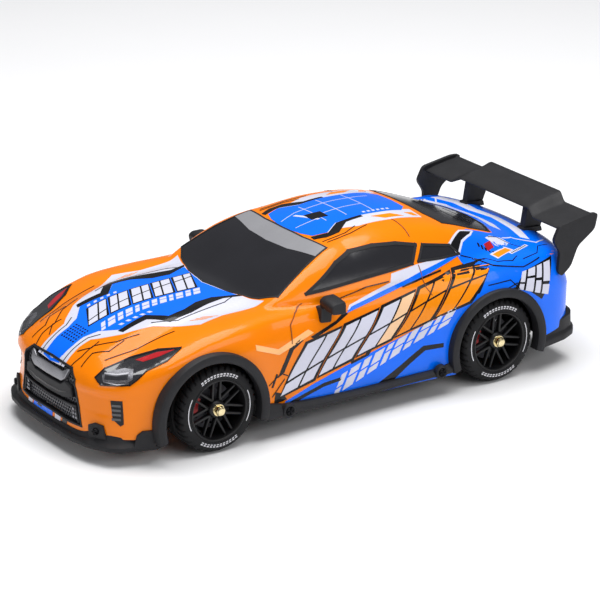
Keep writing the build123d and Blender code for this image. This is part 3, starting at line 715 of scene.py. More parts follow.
# Bonnet: pairs of leaning bars on dark plates and a row of smaller bars beside them.
bars, plates = paired_row(125, 4.6, 1.0, 2.6, 5, lambda x: 1.6 + 0.04 * (125 - x),
                          lambda x: -13.4 - 0.03 * (116 - x), 8.5, 0.0)
plates = [[(a[0] + 1, a[1] + 0.9), (b[0] - 1, b[1] + 0.9), (c[0] - 1, c[1] - 0.9), (d[0] + 1, d[1] - 0.9)]
          for a, b, c, d in plates]
sticker("bonnet_plates", plates, from_top, vinyl_black, 3, sides=(1,))
sticker("bonnet_bars_pale", sum(bars, []), from_top, vinyl_pale, 4, sides=(1,))
sticker("bonnet_small_row", slanted_row(124, 3.4, 1.6, 12, lambda x: 12.5, lambda x: 6.0, 3.5), from_top,
        vinyl_pale, 3, sides=(1,))
sticker("bonnet_dashes", repeated([(116, 15.5), (114.2, 15.5), (113.4, 17.4), (115.2, 17.4)], 5, -4, 0.2),
        from_top, vinyl_pale, 3)
sticker("bonnet_bars", repeated([(87, 36.5), (85.6, 36.5), (78, 39.5), (79.4, 39.5)], 3, -3.2), from_top,
        vinyl_amber, 2)
BONNET_LINES = ([(147, 10.3), (139, 10.4), (131, 11), (126, 14.5)],
                [(145, 18), (140, 20), (133, 19.5), (124, 27.5), (113, 31)],
                [(143, 25), (136, 24), (130, 30), (121, 29.5)],
                [(104, 28), (92, 33.5), (62, 30), (54, 26)], [(139, 14.5), (134, 20), (129.5, 19.2)],
                [(134, 33), (118, 38), (98, 40)])
sticker("bonnet_lines", lines(BONNET_LINES, 0.45), from_top, vinyl_black, 3)
ticks = [tick for row in repeated([(137, 0.6), (136.2, 0.6), (136.2, 1.7), (137, 1.7)], 3, 0, 2.2)
         for tick in repeated(row, 6, -1.7)]
sticker("nose_ticks", ticks, from_top, vinyl_black, 3)

# Flanks.
BLUE_FLANK = [(47, 10), (46, 17.5), (29, 23), (14, 27), (-26, 37), (-62, 47), (-74, 57), (-82, 65.2),
              (-96, 65.6), (-118, 65.2), (-134, 63), (-138, 59), (-141, 50), (-141, 24), (-116, 20),
              (-110, 12), (-60, 10)]
sticker("flank_blue", [BLUE_FLANK], from_side, vinyl_blue, 0)
sticker("pillar_blue", [[(-73, 54.6), (-69.5, 49.5), (-72, 46.5), (-78, 42.5), (-84, 36.2), (-107, 32.8),
                         (-112, 44), (-92, 56)]], from_top, vinyl_blue, 0)
CHEVRON = [(-66.5, 46.0), (-78, 39.0), (-88, 37.0), (-84, 40.6), (-76, 44.4), (-70.6, 49.0)]
sticker("pillar_chevron", [CHEVRON], from_top, vinyl_black, 1)
sticker("pillar_chevron_rim", ribbon(closed(CHEVRON), 0.9), from_top, vinyl_pale, 2)
sticker("pillar_chevron_edge", repeated([(-86, 44), (-87.1, 44), (-87.1, 45.4), (-86, 45.4)], 5, -2.0,
                                        0.6), from_top, vinyl_black, 2)
DECK_BLUE = [(-112, 0), (-110, 18), (-105.5, 31.5), (-96, 36), (-92, 44), (-84, 50), (-78, 57.5),
             (-90, 62.0), (-100, 63.0), (-118, 62.2), (-130, 59), (-138, 52), (-141, 32), (-142, 0)]
sticker("deck_blue", [both_halves(DECK_BLUE)], from_top, vinyl_blue, 0, sides=(1,))
# Pale patch, wavy bands and streaks on the blue deck: painted reflection of the lights.
sticker("deck_reflection_patch", [[(-94, 40.5), (-99, 37.5), (-107, 36.6), (-111, 40.2), (-105, 43.4), (-99, 43.2)]],
        from_top, vinyl_pale, 1)
DECK_REFLECTION_BANDS = [[(-112, -44), (-114, -28), (-112.5, -10), (-115.5, 6), (-114, 18), (-117, 24), (-119.5, 14),
               (-119, 0), (-117.5, -16), (-120, -30), (-117, -46)],
              [(-122, -48), (-124.5, -30), (-123, -14), (-125.5, 4), (-124, 22), (-121, 36), (-123.5, 41),
               (-128, 26), (-129, 6), (-127.5, -12), (-130, -30), (-127, -46)]]
sticker("deck_painted_reflection", DECK_REFLECTION_BANDS, from_top, vinyl_pale, 1, sides=(1,))
sticker("deck_reflection_streaks", ribbon([(-109, 36), (-116, 34), (-124, 46), (-130, 44)], 0.9), from_top,
        vinyl_pale, 1)
sticker("quarter_bar", [[(-102, 50.8), (-117, 45.2), (-117.8, 47.2), (-102.8, 52.8)]], from_top,
        vinyl_pale, 1)
sticker("quarter_bar_ticks", repeated([(-103.4, 50.9), (-104.2, 50.6), (-104.5, 51.6), (-103.7, 51.9)], 9,
                                      -1.5, -0.56), from_top, vinyl_black, 2)
QUARTER_LINES = ([(-78, 50), (-86, 52), (-90, 57), (-99, 58.5), (-104, 55.5)],
                 [(-97, 39), (-104, 37), (-110, 40), (-113, 47)],
                 [(-106, 58.5), (-117, 56), (-122, 50), (-128, 50)])
sticker("quarter_circuit", lines(QUARTER_LINES, 0.5), from_top, vinyl_black, 2)
sticker("tail_blue", [both_halves_front([(0, 64), (36, 62), (49, 57), (53, 45), (53, 27.5), (0, 27.5)])],
        from_back, vinyl_blue, 0, sides=(1,))


def block_low(x):
    """Foot of the big flank bars, rising towards the tail."""
    return 21.0 + 0.244 * (49 - x)


def block_high(x):
    """Head of the big flank bars, held under the shoulder."""
    return min(44.0 + 0.194 * (41 - x), 64.6)


bars, plates = paired_row(49, 9.5, 1.4, 3.6, 5, block_low, block_high, 17.0, 1.3)
sticker("flank_plates", plates, from_side, vinyl_black, 1)
sticker("flank_bars_pale", sum(bars[:5], []), from_side, vinyl_pale, 2)
sticker("flank_bar_peach", bars[5], from_side, vinyl_peach, 2)
sticker("flank_bars_amber", sum(bars[6:], []), from_side, vinyl_amber, 2)
SHARDS = [[(53, 17.5), (45, 18.6), (47, 22), (52, 24)],
          [(50, 31), (45.5, 40), (43, 45.5), (36, 49.5), (34.5, 48.2), (40.5, 44.5), (46, 33)],
          [(54.5, 27), (51, 33.5), (50, 33), (53.3, 26.6)],
          [(30, 49.0), (14, 54), (8, 57.5), (6, 56), (14, 52.4), (28, 47.6)],
          [(-30, 62.0), (-56, 65.2), (-56, 66.2), (-30, 63.4)],
          [(-66, 50.5), (-73, 56.5), (-79, 64.8), (-83, 65.4), (-80, 60), (-74, 52.5)],
          [(5, 28.6), (-6, 31.2), (-9, 35), (-6.5, 35), (-4, 32), (5, 30)],
          [(-44, 42.6), (-60, 46.6), (-62, 50), (-58, 47.8), (-44, 44)]]
sticker("flank_shards", SHARDS, from_side, vinyl_black, 1)
sticker("flank_small_row", slanted_row(17, 5.2, 2.2, 10, lambda x: 13.5 + 0.36 * (17 - x),
                                       lambda x: 22.5 + 0.33 * (17 - x), 6.0), from_side, vinyl_pale, 1)
sticker("flank_pale_band", [[(6, 57.6), (-10, 61.0), (-44, 67.5), (-66, 70.4), (-64, 71.2), (-43.5, 71.2),
                             (-25, 69.8), (-23, 66.0), (-9, 62.6), (4, 59.8)]], from_side, vinyl_pale, 1)
sticker("flank_blue_band", [[(7, 56.4), (-20, 61), (-44, 65), (-70, 69.8), (-66, 70.8), (-44, 67.7),
                             (-10, 61.2), (3, 59)]], from_side, vinyl_blue, 2)
sticker("wing_zigzag", [[(64, 52.3), (50, 46.8), (31, 53.0), (28, 50.8), (49.5, 43.6), (64, 49.4)]],
        from_side, vinyl_light, 1)
sticker("sill_black", [[(-10, 14.2), (-26, 22), (-40, 29.5), (-52, 29.0), (-52, 26.6), (-41, 26.8),
                        (-30, 20.5), (-20, 14.0)]], from_side, vinyl_black, 1)
sticker("sill_blue_bar", [[(44, 14.6), (22, 20.4), (12, 21.4), (11, 23.2), (22, 22.4), (44, 16.6)]],
        from_side, vinyl_black, 1)
sticker("quarter_ground", [[(-96, 51), (-104, 58.5), (-124.5, 62), (-120, 50), (-114, 41.5),
                            (-106, 47.5)]], from_side, vinyl_black, 1)
sticker("quarter_blocks", slanted_row(-98.5, 4.0, 1.3, 4, lambda x: 50.2 - 0.35 * (-98.5 - x),
                                      lambda x: 58 + 0.1 * (-98.5 - x), 4.0), from_side, vinyl_pale, 2)
sticker("quarter_tag", [[(-91, 49), (-105, 43.2), (-107, 48.6), (-92, 55)]], from_top, vinyl_pale, 1)
sticker("quarter_tag_face", [[(-92.2, 49.9), (-104.2, 44.8), (-105.6, 48.6), (-93, 54)]], from_top,
        vinyl_amber, 2)
sticker("quarter_reflector", [[(-90.5, 44.0), (-96.0, 41.8), (-97, 44.2), (-91.5, 46.4)]], from_top,
        lens_red, 5, slot="red_lens", solid=0.4)
FLANK_LINES = ([(-72, 69.5), (-86, 64.0), (-104, 60.5), (-116, 62.6)],
               [(-80, 55.5), (-94, 55.8), (-99, 50.5)], [(-86, 50.5), (-98, 53.5)],
               [(-88, 48.6), (-96, 51.5)], [(56, 28.5), (48, 33.0), (44, 31)], [(54, 22), (46, 29.5)],
               [(12, 63), (-8, 66.4), (-22, 66.6)])
sticker("flank_lines", lines(FLANK_LINES, 0.5), from_side, vinyl_black, 3)

# Roof.
BLUE_ROOF = [(7.2, 0), (5.2, 14), (2.6, 21), (-5, 23.5), (-14, 17.5), (-56, 17.5), (-61, 12), (-61.5, 0)]
sticker("roof_pale", [[(-5, 23.5), (-13, 24.2), (-22, 27.5), (-62, 27.5), (-62, 16), (-14, 17)]], from_top,
        vinyl_pale, 0)
sticker("roof_blue", [both_halves(BLUE_ROOF)], from_top, vinyl_blue, 1, sides=(1,))
sticker("roof_black", [[(4, 21.6), (-5, 24.2), (-14.5, 17.8), (-30, 17.4), (-30, 19.6), (-19, 20.2),
                        (-10, 27.2), (-2, 27.6), (4.2, 25)]], from_top, vinyl_black, 2)
sticker("roof_amber", [[(-34, 21), (-40, 25.5), (-52, 25.5), (-46, 21)],
                       [(-55, 21), (-58, 25.5), (-61, 25.5), (-60, 21)]], from_top, vinyl_amber, 2)
marks = repeated([(-33, 13.8), (-34.6, 13.8), (-34.6, 15.4), (-33, 15.4)], 6, -3)
marks += [[(-3, -6), (-4.8, -6), (-11, 8), (-9.2, 8)]]
ROOF_LINES = ([(4, -6), (-6, -9), (-30, -9), (-52, -9)], [(3.5, 7), (-9, 7), (-14, 3), (-40, 3)],
              [(-12, -14), (-12, 12)], [(-24, -16), (-24, 13)], [(-40, -16), (-40, 13)])
sticker("roof_lines", lines(ROOF_LINES, 0.4) + marks, from_top, vinyl_pale, 3, sides=(1,))
sticker("roof_tag", [[(-7, -2), (-7, 6), (-16, 8), (-16, 0)]], from_top, vinyl_black, 4, sides=(1,))
sticker("rail_lines", lines([[(2, 30), (-12, 29.6), (-20, 26.5)], [(0.5, 32), (-14, 31.4), (-26, 28.6)]],
                            0.5), from_top, vinyl_black, 2)
sticker("rear_pane_patches", [[(-88, 8), (-96, 8), (-99, 22), (-90, 22)],
                              [(-98, -4), (-106, -4), (-108, 8), (-100, 8)]], from_top, vinyl_black, 1,
        sides=(1,))

# Panel gaps.
DOOR_GAPS = ([(41, 57), (36.5, 61.5), (30, 64.5)], [(41, 57), (41.5, 48)],
             [(-42.8, 70.5), (-43.5, 60), (-46, 56)])
sticker("door_gaps", lines(DOOR_GAPS, 0.45), from_side, gap_dark, 4)
sticker("roof_seam", ribbon([(-44, 41.5), (-43, 30), (-42.5, 28)], 0.5), from_top, gap_dark, 2)


# ---------------------------------------------------------------- lamps, grille and front trim
sticker("headlight_units", [HEADLIGHT], from_corner, lens_smoke, 1, solid=0.6, slot="lamp_lens",
        replaces=("headlight_lenses",), step=1.2)
sticker("headlight_reflectors", [[(71, 44.8), (67.5, 46.4), (60, 48.3), (55.2, 48.4), (54.4, 45.3),
                                  (57, 43.6), (69.5, 42.2)]], from_corner, reflector, 3, solid=0.3,
        slot="lamp_lens", step=1.2)
sticker("headlight_slits", ribbon([(68.5, 44.3), (63, 44.6), (57.8, 45.7)], 1.5), from_corner, lens_smoke,
        5, slot="lamp_lens", step=1.0)
sticker("headlight_glints", ribbon([(69.6, 45.5), (63, 45.9), (57.2, 47.0)], 0.45)
        + ribbon([(69.4, 43.2), (58, 44.2)], 0.35) + ribbon([(69.4, 42.6), (62, 42.4), (56.4, 43.4)], 0.4),
        from_corner, steel, 6, slot="lamp_lens", step=1.0)
sticker("headlight_markers", [[(56, 51.0), (46, 54.3), (37, 56.1), (44, 53.4), (51.5, 51.0)]], from_corner,
        lens_red, 3, solid=0.3, slot="red_lens", step=1.0)
sticker("headlight_rims", ribbon(closed(HEADLIGHT), 0.5), from_corner, vinyl_black, 4, slot="black_trim")
sticker("bumper_slots", [[(65.8, 33.5), (59.4, 34.2), (58.8, 22), (60.5, 20.8), (64.8, 24)]], from_corner,
        trim_black, 1, slot="black_trim")
louvres = repeated([(65.2, 31.6), (60.2, 32.0), (60.2, 30.8), (65.0, 30.4)], 4, 0, -2.4)
sticker("bumper_louvres", louvres, from_corner, lens_smoke, 4, solid=0.5, slot="black_trim")
sticker("screw_tabs", [[(77.5, 19), (74, 20.6), (69.5, 20), (67.6, 13), (77.5, 13)]], from_corner,
        trim_black, lift=1.4, solid=1.6, slot="black_trim", bevel=0.3)
sticker("canards", [[(52.5, 16.5), (50, 18.6), (45, 18.8), (43.8, 17), (43.8, 9.5), (54.4, 9.5)]],
        from_corner, trim_black, lift=1.3, solid=1.6, slot="black_trim", bevel=0.3)


def honeycomb():
    """Hexagonal ribs on the recessed grille face: each cell a ring with a rim and a wall going in."""
    pitch, depth, recess = 2.1, 1.2, 2.0
    row_share = 0.866             # rows of hexagons stand this share of the pitch apart
    rows = np.arange(15, 43.5, pitch * row_share)
    cells = np.array([(y + (pitch / 2 if k % 2 else 0), z) for k, z in enumerate(rows)
                      for y in np.arange(-27, 27, pitch)])
    cells = cells[well_inside(GRILLE_FULL, cells[:, 0], cells[:, 1], 0.6)]
    turn = np.radians(np.arange(6) * 60 + 30)
    wheel = np.stack([np.cos(turn), np.sin(turn)], -1)
    # Outer corners are just over half a pitch out, so that neighbouring ribs join.
    outer = cells[:, None] + wheel * pitch * 0.578
    inner = cells[:, None] + wheel * pitch * 0.44
    face = from_front(outer.reshape(-1, 2)).reshape(outer.shape[:2] + (3,)) - [recess, 0, 0]
    hole = from_front(inner.reshape(-1, 2)).reshape(outer.shape[:2] + (3,)) - [recess, 0, 0]
    back = hole - [depth, 0, 0]
    points = np.stack([face, hole, back], 1)
    base = (np.arange(len(cells)) * 18)[:, None]
    i, j = np.arange(6), (np.arange(6) + 1) % 6
    front = np.stack([base + i, base + j, base + 6 + j, base + 6 + i], -1).reshape(-1, 4)
    wall = np.stack([base + 6 + i, base + 6 + j, base + 12 + j, base + 12 + i], -1).reshape(-1, 4)
    return points.reshape(-1, 3), np.vstack([front, wall])


put("grille_mesh", *honeycomb(), mesh_grey, "shell", "grille_grey", False, ("grille_insert",))
# Dark sheet behind the honeycomb: painted shade of the space behind the grille.
sticker("grille_back", [GRILLE_FULL], from_front, shade_sheet, sides=(1,), lift=-3.4, solid=0.8,
        slot="grille_grey")
sticker("grille_frame", ribbon(closed(GRILLE_FULL), 1.0), from_front, trim_black, lift=0.35, sides=(1,),
        solid=2.6, slot="black_trim")
BAR = [(0, 40.6), (13, 40.4), (16.8, 42.4), (18.6, 42.6), (16.8, 37.6), (13.5, 35.8), (0, 35.6)]
sticker("grille_bar", [both_halves_front(BAR)], from_front, grille_metal, lift=0.6, sides=(1,), solid=2.2,
        slot="grille_grey", bevel=0.4)
sticker("grille_blade", [both_halves_front([(0, 34.0), (13, 34.2), (17, 36.6), (22.4, 34.6), (23.6, 29.6),
                                            (15, 27.4), (0, 27.0)])], from_front, trim_black, lift=0.3,
        sides=(1,), solid=2.8, slot="black_trim", bevel=0.6)
# Flat dark strip on the blade: painted shade of its slot.
sticker("grille_blade_slot", [both_halves_front([(0, 30.0), (12, 30.2), (20, 31.8), (12, 29.2),
                                                 (0, 29.0)])], from_front, shade_sheet, lift=0.4,
        sides=(1,), slot="black_trim")
sticker("intake_frame", ribbon([(-27.4, 18), (-25.4, 25.6), (-15, 25.2), (0, 24.8), (15, 25.2),
                                (25.4, 25.6), (27.4, 18)], 1.2), from_front, trim_black, lift=0.2,
        sides=(1,), solid=2.2, slot="black_trim", bevel=0.3)
sticker("nose_strip_blue", [[(-17, 13), (3, 13), (4, 16.4), (-16, 16.0)]], from_front, vinyl_blue, 1,
        sides=(1,))
sticker("nose_strip_pale", [[(5.5, 13), (11, 13), (12, 16.2), (6.5, 16.4)],
                            [(-23, 13), (-18.5, 13), (-17.5, 15.8), (-22, 15.6)]], from_front, vinyl_pale,
        1, sides=(1,))
sticker("nose_strip_black", [[(12.5, 13), (17, 13), (18, 15.8), (13.5, 16.0)],
                             [(-13, 14.2), (-8, 14.2), (-7, 15.4), (-12, 15.4)]], from_front, vinyl_black,
        2, sides=(1,))
comb = [(y, z) for z in (19.2, 21.3, 23.4) for y in (23.0, 25.2)]
sticker("intake_vents", [[(y + 0.95 * math.cos(t), z + 0.95 * math.sin(t))
                          for t in np.radians(np.arange(6) * 60)] for y, z in comb], from_front, reflector,
        lift=-0.4, solid=0.8, slot="grille_grey", bevel=0.2)


def slab(outline, place, low, high):
    """A flat outline with thickness: place(p, q, level) gives the points of the lower and upper faces."""
    flat, faces = fill(outline, 40.0)
    count, i = len(flat), np.arange(len(outline))
    j = (i + 1) % len(outline)
    walls = np.stack([i, j, j + count, i + count], -1)
    faces = [list(f) for f in faces] + [[k + count for k in f][::-1] for f in faces] + walls.tolist()
    return np.vstack([place(flat[:, 0], flat[:, 1], low), place(flat[:, 0], flat[:, 1], high)]), faces


def solid_piece(name, meshes, skin, replaces=(), bevel=0.35, smooth=False, body="shell", slot="black_trim"):
    """Joins closed parts into one piece with outward faces and rounded edges."""
    piece = put(name, *merge(*meshes), skin, body, slot, smooth, replaces)
    work = bmesh.new()
    work.from_mesh(piece.data)
    bmesh.ops.recalc_face_normals(work, faces=work.faces)
    work.to_mesh(piece.data)
    work.free()
    if bevel:
        round_edges(piece, bevel)
    return piece


def flat_z(p, q, level):
    """Outline (x, y) at a height."""
    return np.stack([p, q, 0 * p + level], -1)


def flat_y(p, q, level):
    """Outline (x, z) at a place across the car."""
    return np.stack([p, 0 * p + level, q], -1)


def rounded(outline, radius, steps=4):
    """Rounds an outline's corners with arcs."""
    o = np.asarray(outline, float)
    result = []
    for before, here, after in zip(np.roll(o, 1, 0), o, np.roll(o, -1, 0)):
        a, b = before - here, after - here
        reach = min(radius, np.hypot(*a) * 0.45, np.hypot(*b) * 0.45)
        a, b = a / np.hypot(*a) * reach, b / np.hypot(*b) * reach
        t = np.linspace(0, 1, steps + 1)[:, None]
        result.append(here + a * (1 - t) ** 2 + b * t**2)
    return np.vstack(result)


SPLITTER = [(114.5, 56), (121, 60.3), (139, 54), (143.5, 50), (149, 39), (151.5, 25), (SPLITTER_X, 8)]
SPLITTER_IN = [(113, 50), (121, 53), (133, 46), (141, 32), (143, 8)]


def front_trim():
    """Splitter plate with an upright lip that follows the nose and thickens to the corners."""
    ring = [tuple(p) for p in both_halves(SPLITTER)]
    inner = [tuple(p) for p in both_halves(SPLITTER_IN)]
    outer = resample(ring, 90)
    inside_line = resample(inner, 90)
    profile = []
    for share, height in ((0.02, 8.0), (0.0, 8.8), (0.02, 10.2), (0.14, 11.2), (0.30, 12.4), (0.42, 15.2),
                          (0.48, 16.0), (0.62, 16.0), (0.66, 12.0), (0.98, 10.6), (1.0, 9.4), (0.98, 8.0)):
        line = outer + (inside_line - outer) * share
        drop = curve(np.abs(outer[:, 1]), [0, 30, 42, 60], [1.8, 1.6, 0.2, 0.0]) * (height > 12)
        profile.append(np.stack([line[:, 0], line[:, 1], height - drop], -1))
    points = np.stack(profile, 1)
    faces = outward(points.reshape(-1, 3), grid_faces(len(outer), len(profile), False, True))
    return points.reshape(-1, 3), faces.tolist() + end_faces(len(outer), len(profile))


def resample(line, count):
    """Points at even spacing along an open line."""
    p = np.asarray(line, float)
    length = np.concatenate([[0], np.cumsum(np.hypot(*np.diff(p, axis=0).T))])
    where = np.linspace(0, length[-1], count)
    return np.stack([np.interp(where, length, p[:, 0]), np.interp(where, length, p[:, 1])], -1)


solid_piece("splitter", [front_trim()], trim_black, ("front_splitter",), 0.2, True)


def arch_ring(arch, low_z, side):
    """Arch flare: an eight-point section carried round the opening's arc down to low_z."""
    ax, az, opening, outer = arch
    dip = math.asin((az - low_z) / outer)
    angles = np.linspace(-dip, math.pi + dip, 72)
    section = np.array([(opening, 60.5), (opening, 66.2), (opening + 0.7, 67.0), (opening + 1.6, 67.2),
                        (outer - 1.3, 67.2), (outer - 0.4, 66.7), (outer, 65.6), (outer, 60.5)])
    r, y = section[:, 0], section[:, 1]
    points = np.stack([ax + r * np.cos(angles)[:, None], side * y + 0 * angles[:, None],
                       np.maximum(az + r * np.sin(angles)[:, None], low_z)], -1)
    return sweep(points)


for place, arch in (("front", ARCH_FRONT), ("rear", ARCH_REAR)):
    solid_piece(f"{place}_flares", [arch_ring(arch, 12.0, side) for side in (1, -1)], trim_black,
                (f"{place}_arch_flares",), 0.0, True)


def skirt_strip(side):
    """Side skirt: a step section carried along the sill, with a small kick up to the arches."""
    x = np.linspace(SKIRT_HIGH[0] - 0.2, SKIRT_LOW[0] + 0.2, 60)
    low = curve(x, [60, 52, 30, -40, -60], [10.6, 10.8, 11.2, 12.0, 12.0])
    top = curve(x, [60, 54, 46, 0, -48, -56, -60], [19.5, 18.6, 16.8, 15.0, 15.6, 17.5, 18.5])
    section = [(58.8, 0.0), (65.0, 0.0), (65.8, 0.12), (66.0, 0.5), (65.6, 0.62), (64.6, 0.75),
               (63.6, 0.97), (62.6, 1.0), (58.8, 1.0)]
    points = np.stack([np.stack([x, np.full_like(x, side * y), low + (top - low) * t], -1)
                       for y, t in section], 1)
    return sweep(points)


solid_piece("skirts", [skirt_strip(1), skirt_strip(-1)], trim_black, ("side_skirts",), 0.15, True)


def tail_trim():
    """Lower rear bumper: a wall with a ledge half way down, carried round the tail's plan."""
    half = [(-114.5, 64.4), (-122, 63.2), (-132, 61.0), (-139.0, 57.6), (-142.6, 53.4), (-144.2, 46),
            (-144.7, 30), (-144.8, 12)]
    line = resample(both_halves(half), 80)
    centre = np.array([-100.0, 0.0])
    way = line - centre
    way /= np.hypot(*way.T)[:, None]
    top = curve(np.abs(line[:, 1]), [0, 40, 52, 60, 65], [27.6, 27.4, 27.0, 26.4, 25.8])
    foot = curve(np.abs(line[:, 1]), [0, 40, 52, 60, 65], [14.6, 14.6, 14.4, 14.0, 13.6])
    section = [(-2.2, 1.0), (-0.2, 1.0), (0.3, 0.97), (0.5, 0.42), (1.6, 0.34), (1.9, 0.28), (1.9, 0.06),
               (1.4, 0.0), (-2.2, 0.0)]
    points = []
    for offset, t in section:
        p = line + way * offset
        points.append(np.stack([p[:, 0], p[:, 1], foot + (top - foot) * t], -1))
    return sweep(np.stack(points, 1))


FIN = [(-142.5, 12), (-120, 14), (-120, 20), (-141.5, 20)]
FIN_HALF = 0.8
fins = [slab(FIN, flat_y, y - FIN_HALF, y + FIN_HALF) for y in (-30, -10, 10, 30)]
fins.append(slab(both_halves([(-118, 59), (-134, 56), (-141, 50), (-143, 10)]), flat_z, 18.4, 20.0))
solid_piece("tail_trim", [tail_trim()] + fins, trim_black, ("rear_skirt",), 0.25, True)


# ---------------------------------------------------------------- mirrors, wing
def mirror_head():
    """Mirror: a rounded five-sided section, deepest at the rear, carried outwards from the door."""
    half_section = [(13.2, 60.6), (22.4, 61.6), (23.0, 66.0), (20.5, 67.7), (13.4, 67.7)]
    rings = []
    for y, size, shift in ((57.0, 0.86, 0.8), (57.6, 0.98, 0.7), (63, 1.0, 0.2), (68.2, 0.96, -0.5),
                           (69.2, 0.88, -0.6), (69.5, 0.72, -0.6)):
        ring = rounded(half_section, 1.6)
        middle = ring.mean(0)
        ring = middle + (ring - middle) * size + [-shift * 0.4, shift * 0.6]
        rings.append(np.stack([ring[:, 0], np.full(len(ring), y), ring[:, 1]], -1))
    return sweep(np.stack(rings))


head = mirror_head()
foot = slab(rounded([(17.2, 54.4), (23.6, 55.0), (23.2, 62.6), (16.4, 62.6)], 1.0), flat_y, 55.0, 60.4)
solid_piece("door_mirrors", [head, foot, flip_y(head), flip_y(foot)], trim_black, ("mirrors",), 0.25, True)


def wing_blade():
    """Wing section (leading edge, camber, gurney lip) carried across the span, raised in the middle."""
    half = WING_HIGH[1] - 1.2
    y = np.concatenate([np.linspace(-half, -38.5, 24), np.linspace(-38, -30.5, 10),
                        np.linspace(-30, 30, 40), np.linspace(30.5, 38, 10), np.linspace(38.5, half, 24)])
    up = curve(np.abs(y), [0, 30.2, 38.2, 62], [1, 1, 0, 0])
    front = np.stack([-128.2 - 1.6 * up, 76.6 + 3.2 * up], -1)
    rear = np.stack([-149.0 - 1.6 * up, 80.0 + 4.2 * up], -1)
    section = [(0.0, -0.5), (-0.01, 0.1), (0.03, 0.7), (0.3, 1.2), (0.7, 1.3), (0.95, 1.1), (1.0, 1.7),
               (1.03, 1.6), (1.03, 0.2), (0.97, -0.3), (0.6, -0.9), (0.25, -1.1)]
    points = []
    for share, rise in section:
        p = front + (rear - front) * share
        points.append(np.stack([p[:, 0], y, p[:, 1] + rise], -1))
    return sweep(np.stack(points, 1))


REAR_TIP = WING_LOW[0]
PLATE_THICK = 2.2
END_PLATE = [(REAR_TIP, 82.2), (-150, 73.5), (-139, 66), (-134.5, 55.5), (-128.5, 50.8), (-126, 53.5),
             (-127, 64.5), (-122.5, 71.5), (-126.5, 79.3), (-146, 82.6)]
plates = [slab(rounded(END_PLATE, 2.2), flat_y, side * (WING_HIGH[1] - PLATE_THICK), side * WING_HIGH[1])
          for side in (1, -1)]
solid_piece("wing", [wing_blade()] + plates, trim_black, ("rear_wing",), 0.3)
STRUT = [(-129.0, 65.4), (-139.6, 65.0), (-147, 82.4), (-131.4, 79.4)]
struts = [slab(rounded(STRUT, 1.5), flat_y, side * 24.2, side * 28.2) for side in (1, -1)]
pads = [slab(rounded([(-127.6, 65.2), (-141, 64.6), (-140.2, 67.6), (-128.4, 68.2)], 0.8), flat_y,
             side * 23.2, side * 29.2) for side in (1, -1)]
solid_piece("wing_posts", struts + pads, trim_black, ("wing_struts",), 0.35)


# ---------------------------------------------------------------- small parts
def lathe_y(section, x, z, count=96):
    """Section of (radius, y) points turned about a line along Y through (x, z)."""
    t = np.linspace(0, 2 * np.pi, count, endpoint=False)
    r, y = np.asarray(section, float).T
    points = np.stack([x + r * np.cos(t)[:, None], y + 0 * t[:, None], z + r * np.sin(t)[:, None]], -1)
    return points.reshape(-1, 3), grid_faces(count, len(section), True, True)


def screw_head(x, y, z, side, radius=2.2):
    """Domed screw head with a cross recess cut as four sunken quarters."""
    rings = np.array([(radius, 0.0), (radius, 0.7), (radius * 0.86, 1.15), (radius * 0.55, 1.35),
                      (radius * 0.3, 1.4), (0.02, 1.4)])
    t = np.linspace(0, 2 * np.pi, 48, endpoint=False)
    r, h = rings[:, 0], rings[:, 1]
    cross = (np.abs(np.sin(2 * t)) < 0.5)[:, None] & (r < radius * 0.6)[None, :]
    height = np.where(cross, h - 0.75, h)
    points = np.stack([x + r * np.cos(t)[:, None], y + side * height, z + r * np.sin(t)[:, None]], -1)
    return points.reshape(-1, 3), grid_faces(48, len(rings), True, False)


SKIRT_SCREWS = ((-48.5, 14.6), (46.5, 14.2))      # x, z
BOSS = [(2.4, 64.0), (2.4, 66.7), (2.9, 66.9), (3.6, 66.4), (3.9, 64.0)]
heads = [screw_head(x, side * 65.9, z, side) for x, z in SKIRT_SCREWS for side in (1, -1)]
solid_piece("skirt_screws", heads, screw_black, ("shell_screws",), 0.0, True, slot="steel")
bosses = [lathe_y(BOSS, x, z, 40) for x, z in SKIRT_SCREWS]
bosses += [flip_y(boss) for boss in bosses]
solid_piece("screw_bosses", bosses, trim_black, (), 0.0, True)


def tab_screw(side):
    """Screw that holds the splitter's tab to the bumper, square to the painted face."""
    spot = from_corner(np.array([[73.2, 16.8]]), side)[0]
    normal = form_normal(spot[None])[0]
    p, f = screw_head(0, 0, 0, 1, 1.9)
    turn = Vector((0, 1, 0)).rotation_difference(Vector(normal)).to_matrix()
    return p @ np.array(turn).T + spot + normal * 1.3, f


solid_piece("tab_screws", [tab_screw(1), tab_screw(-1)], screw_black, (), 0.0, True, slot="steel")


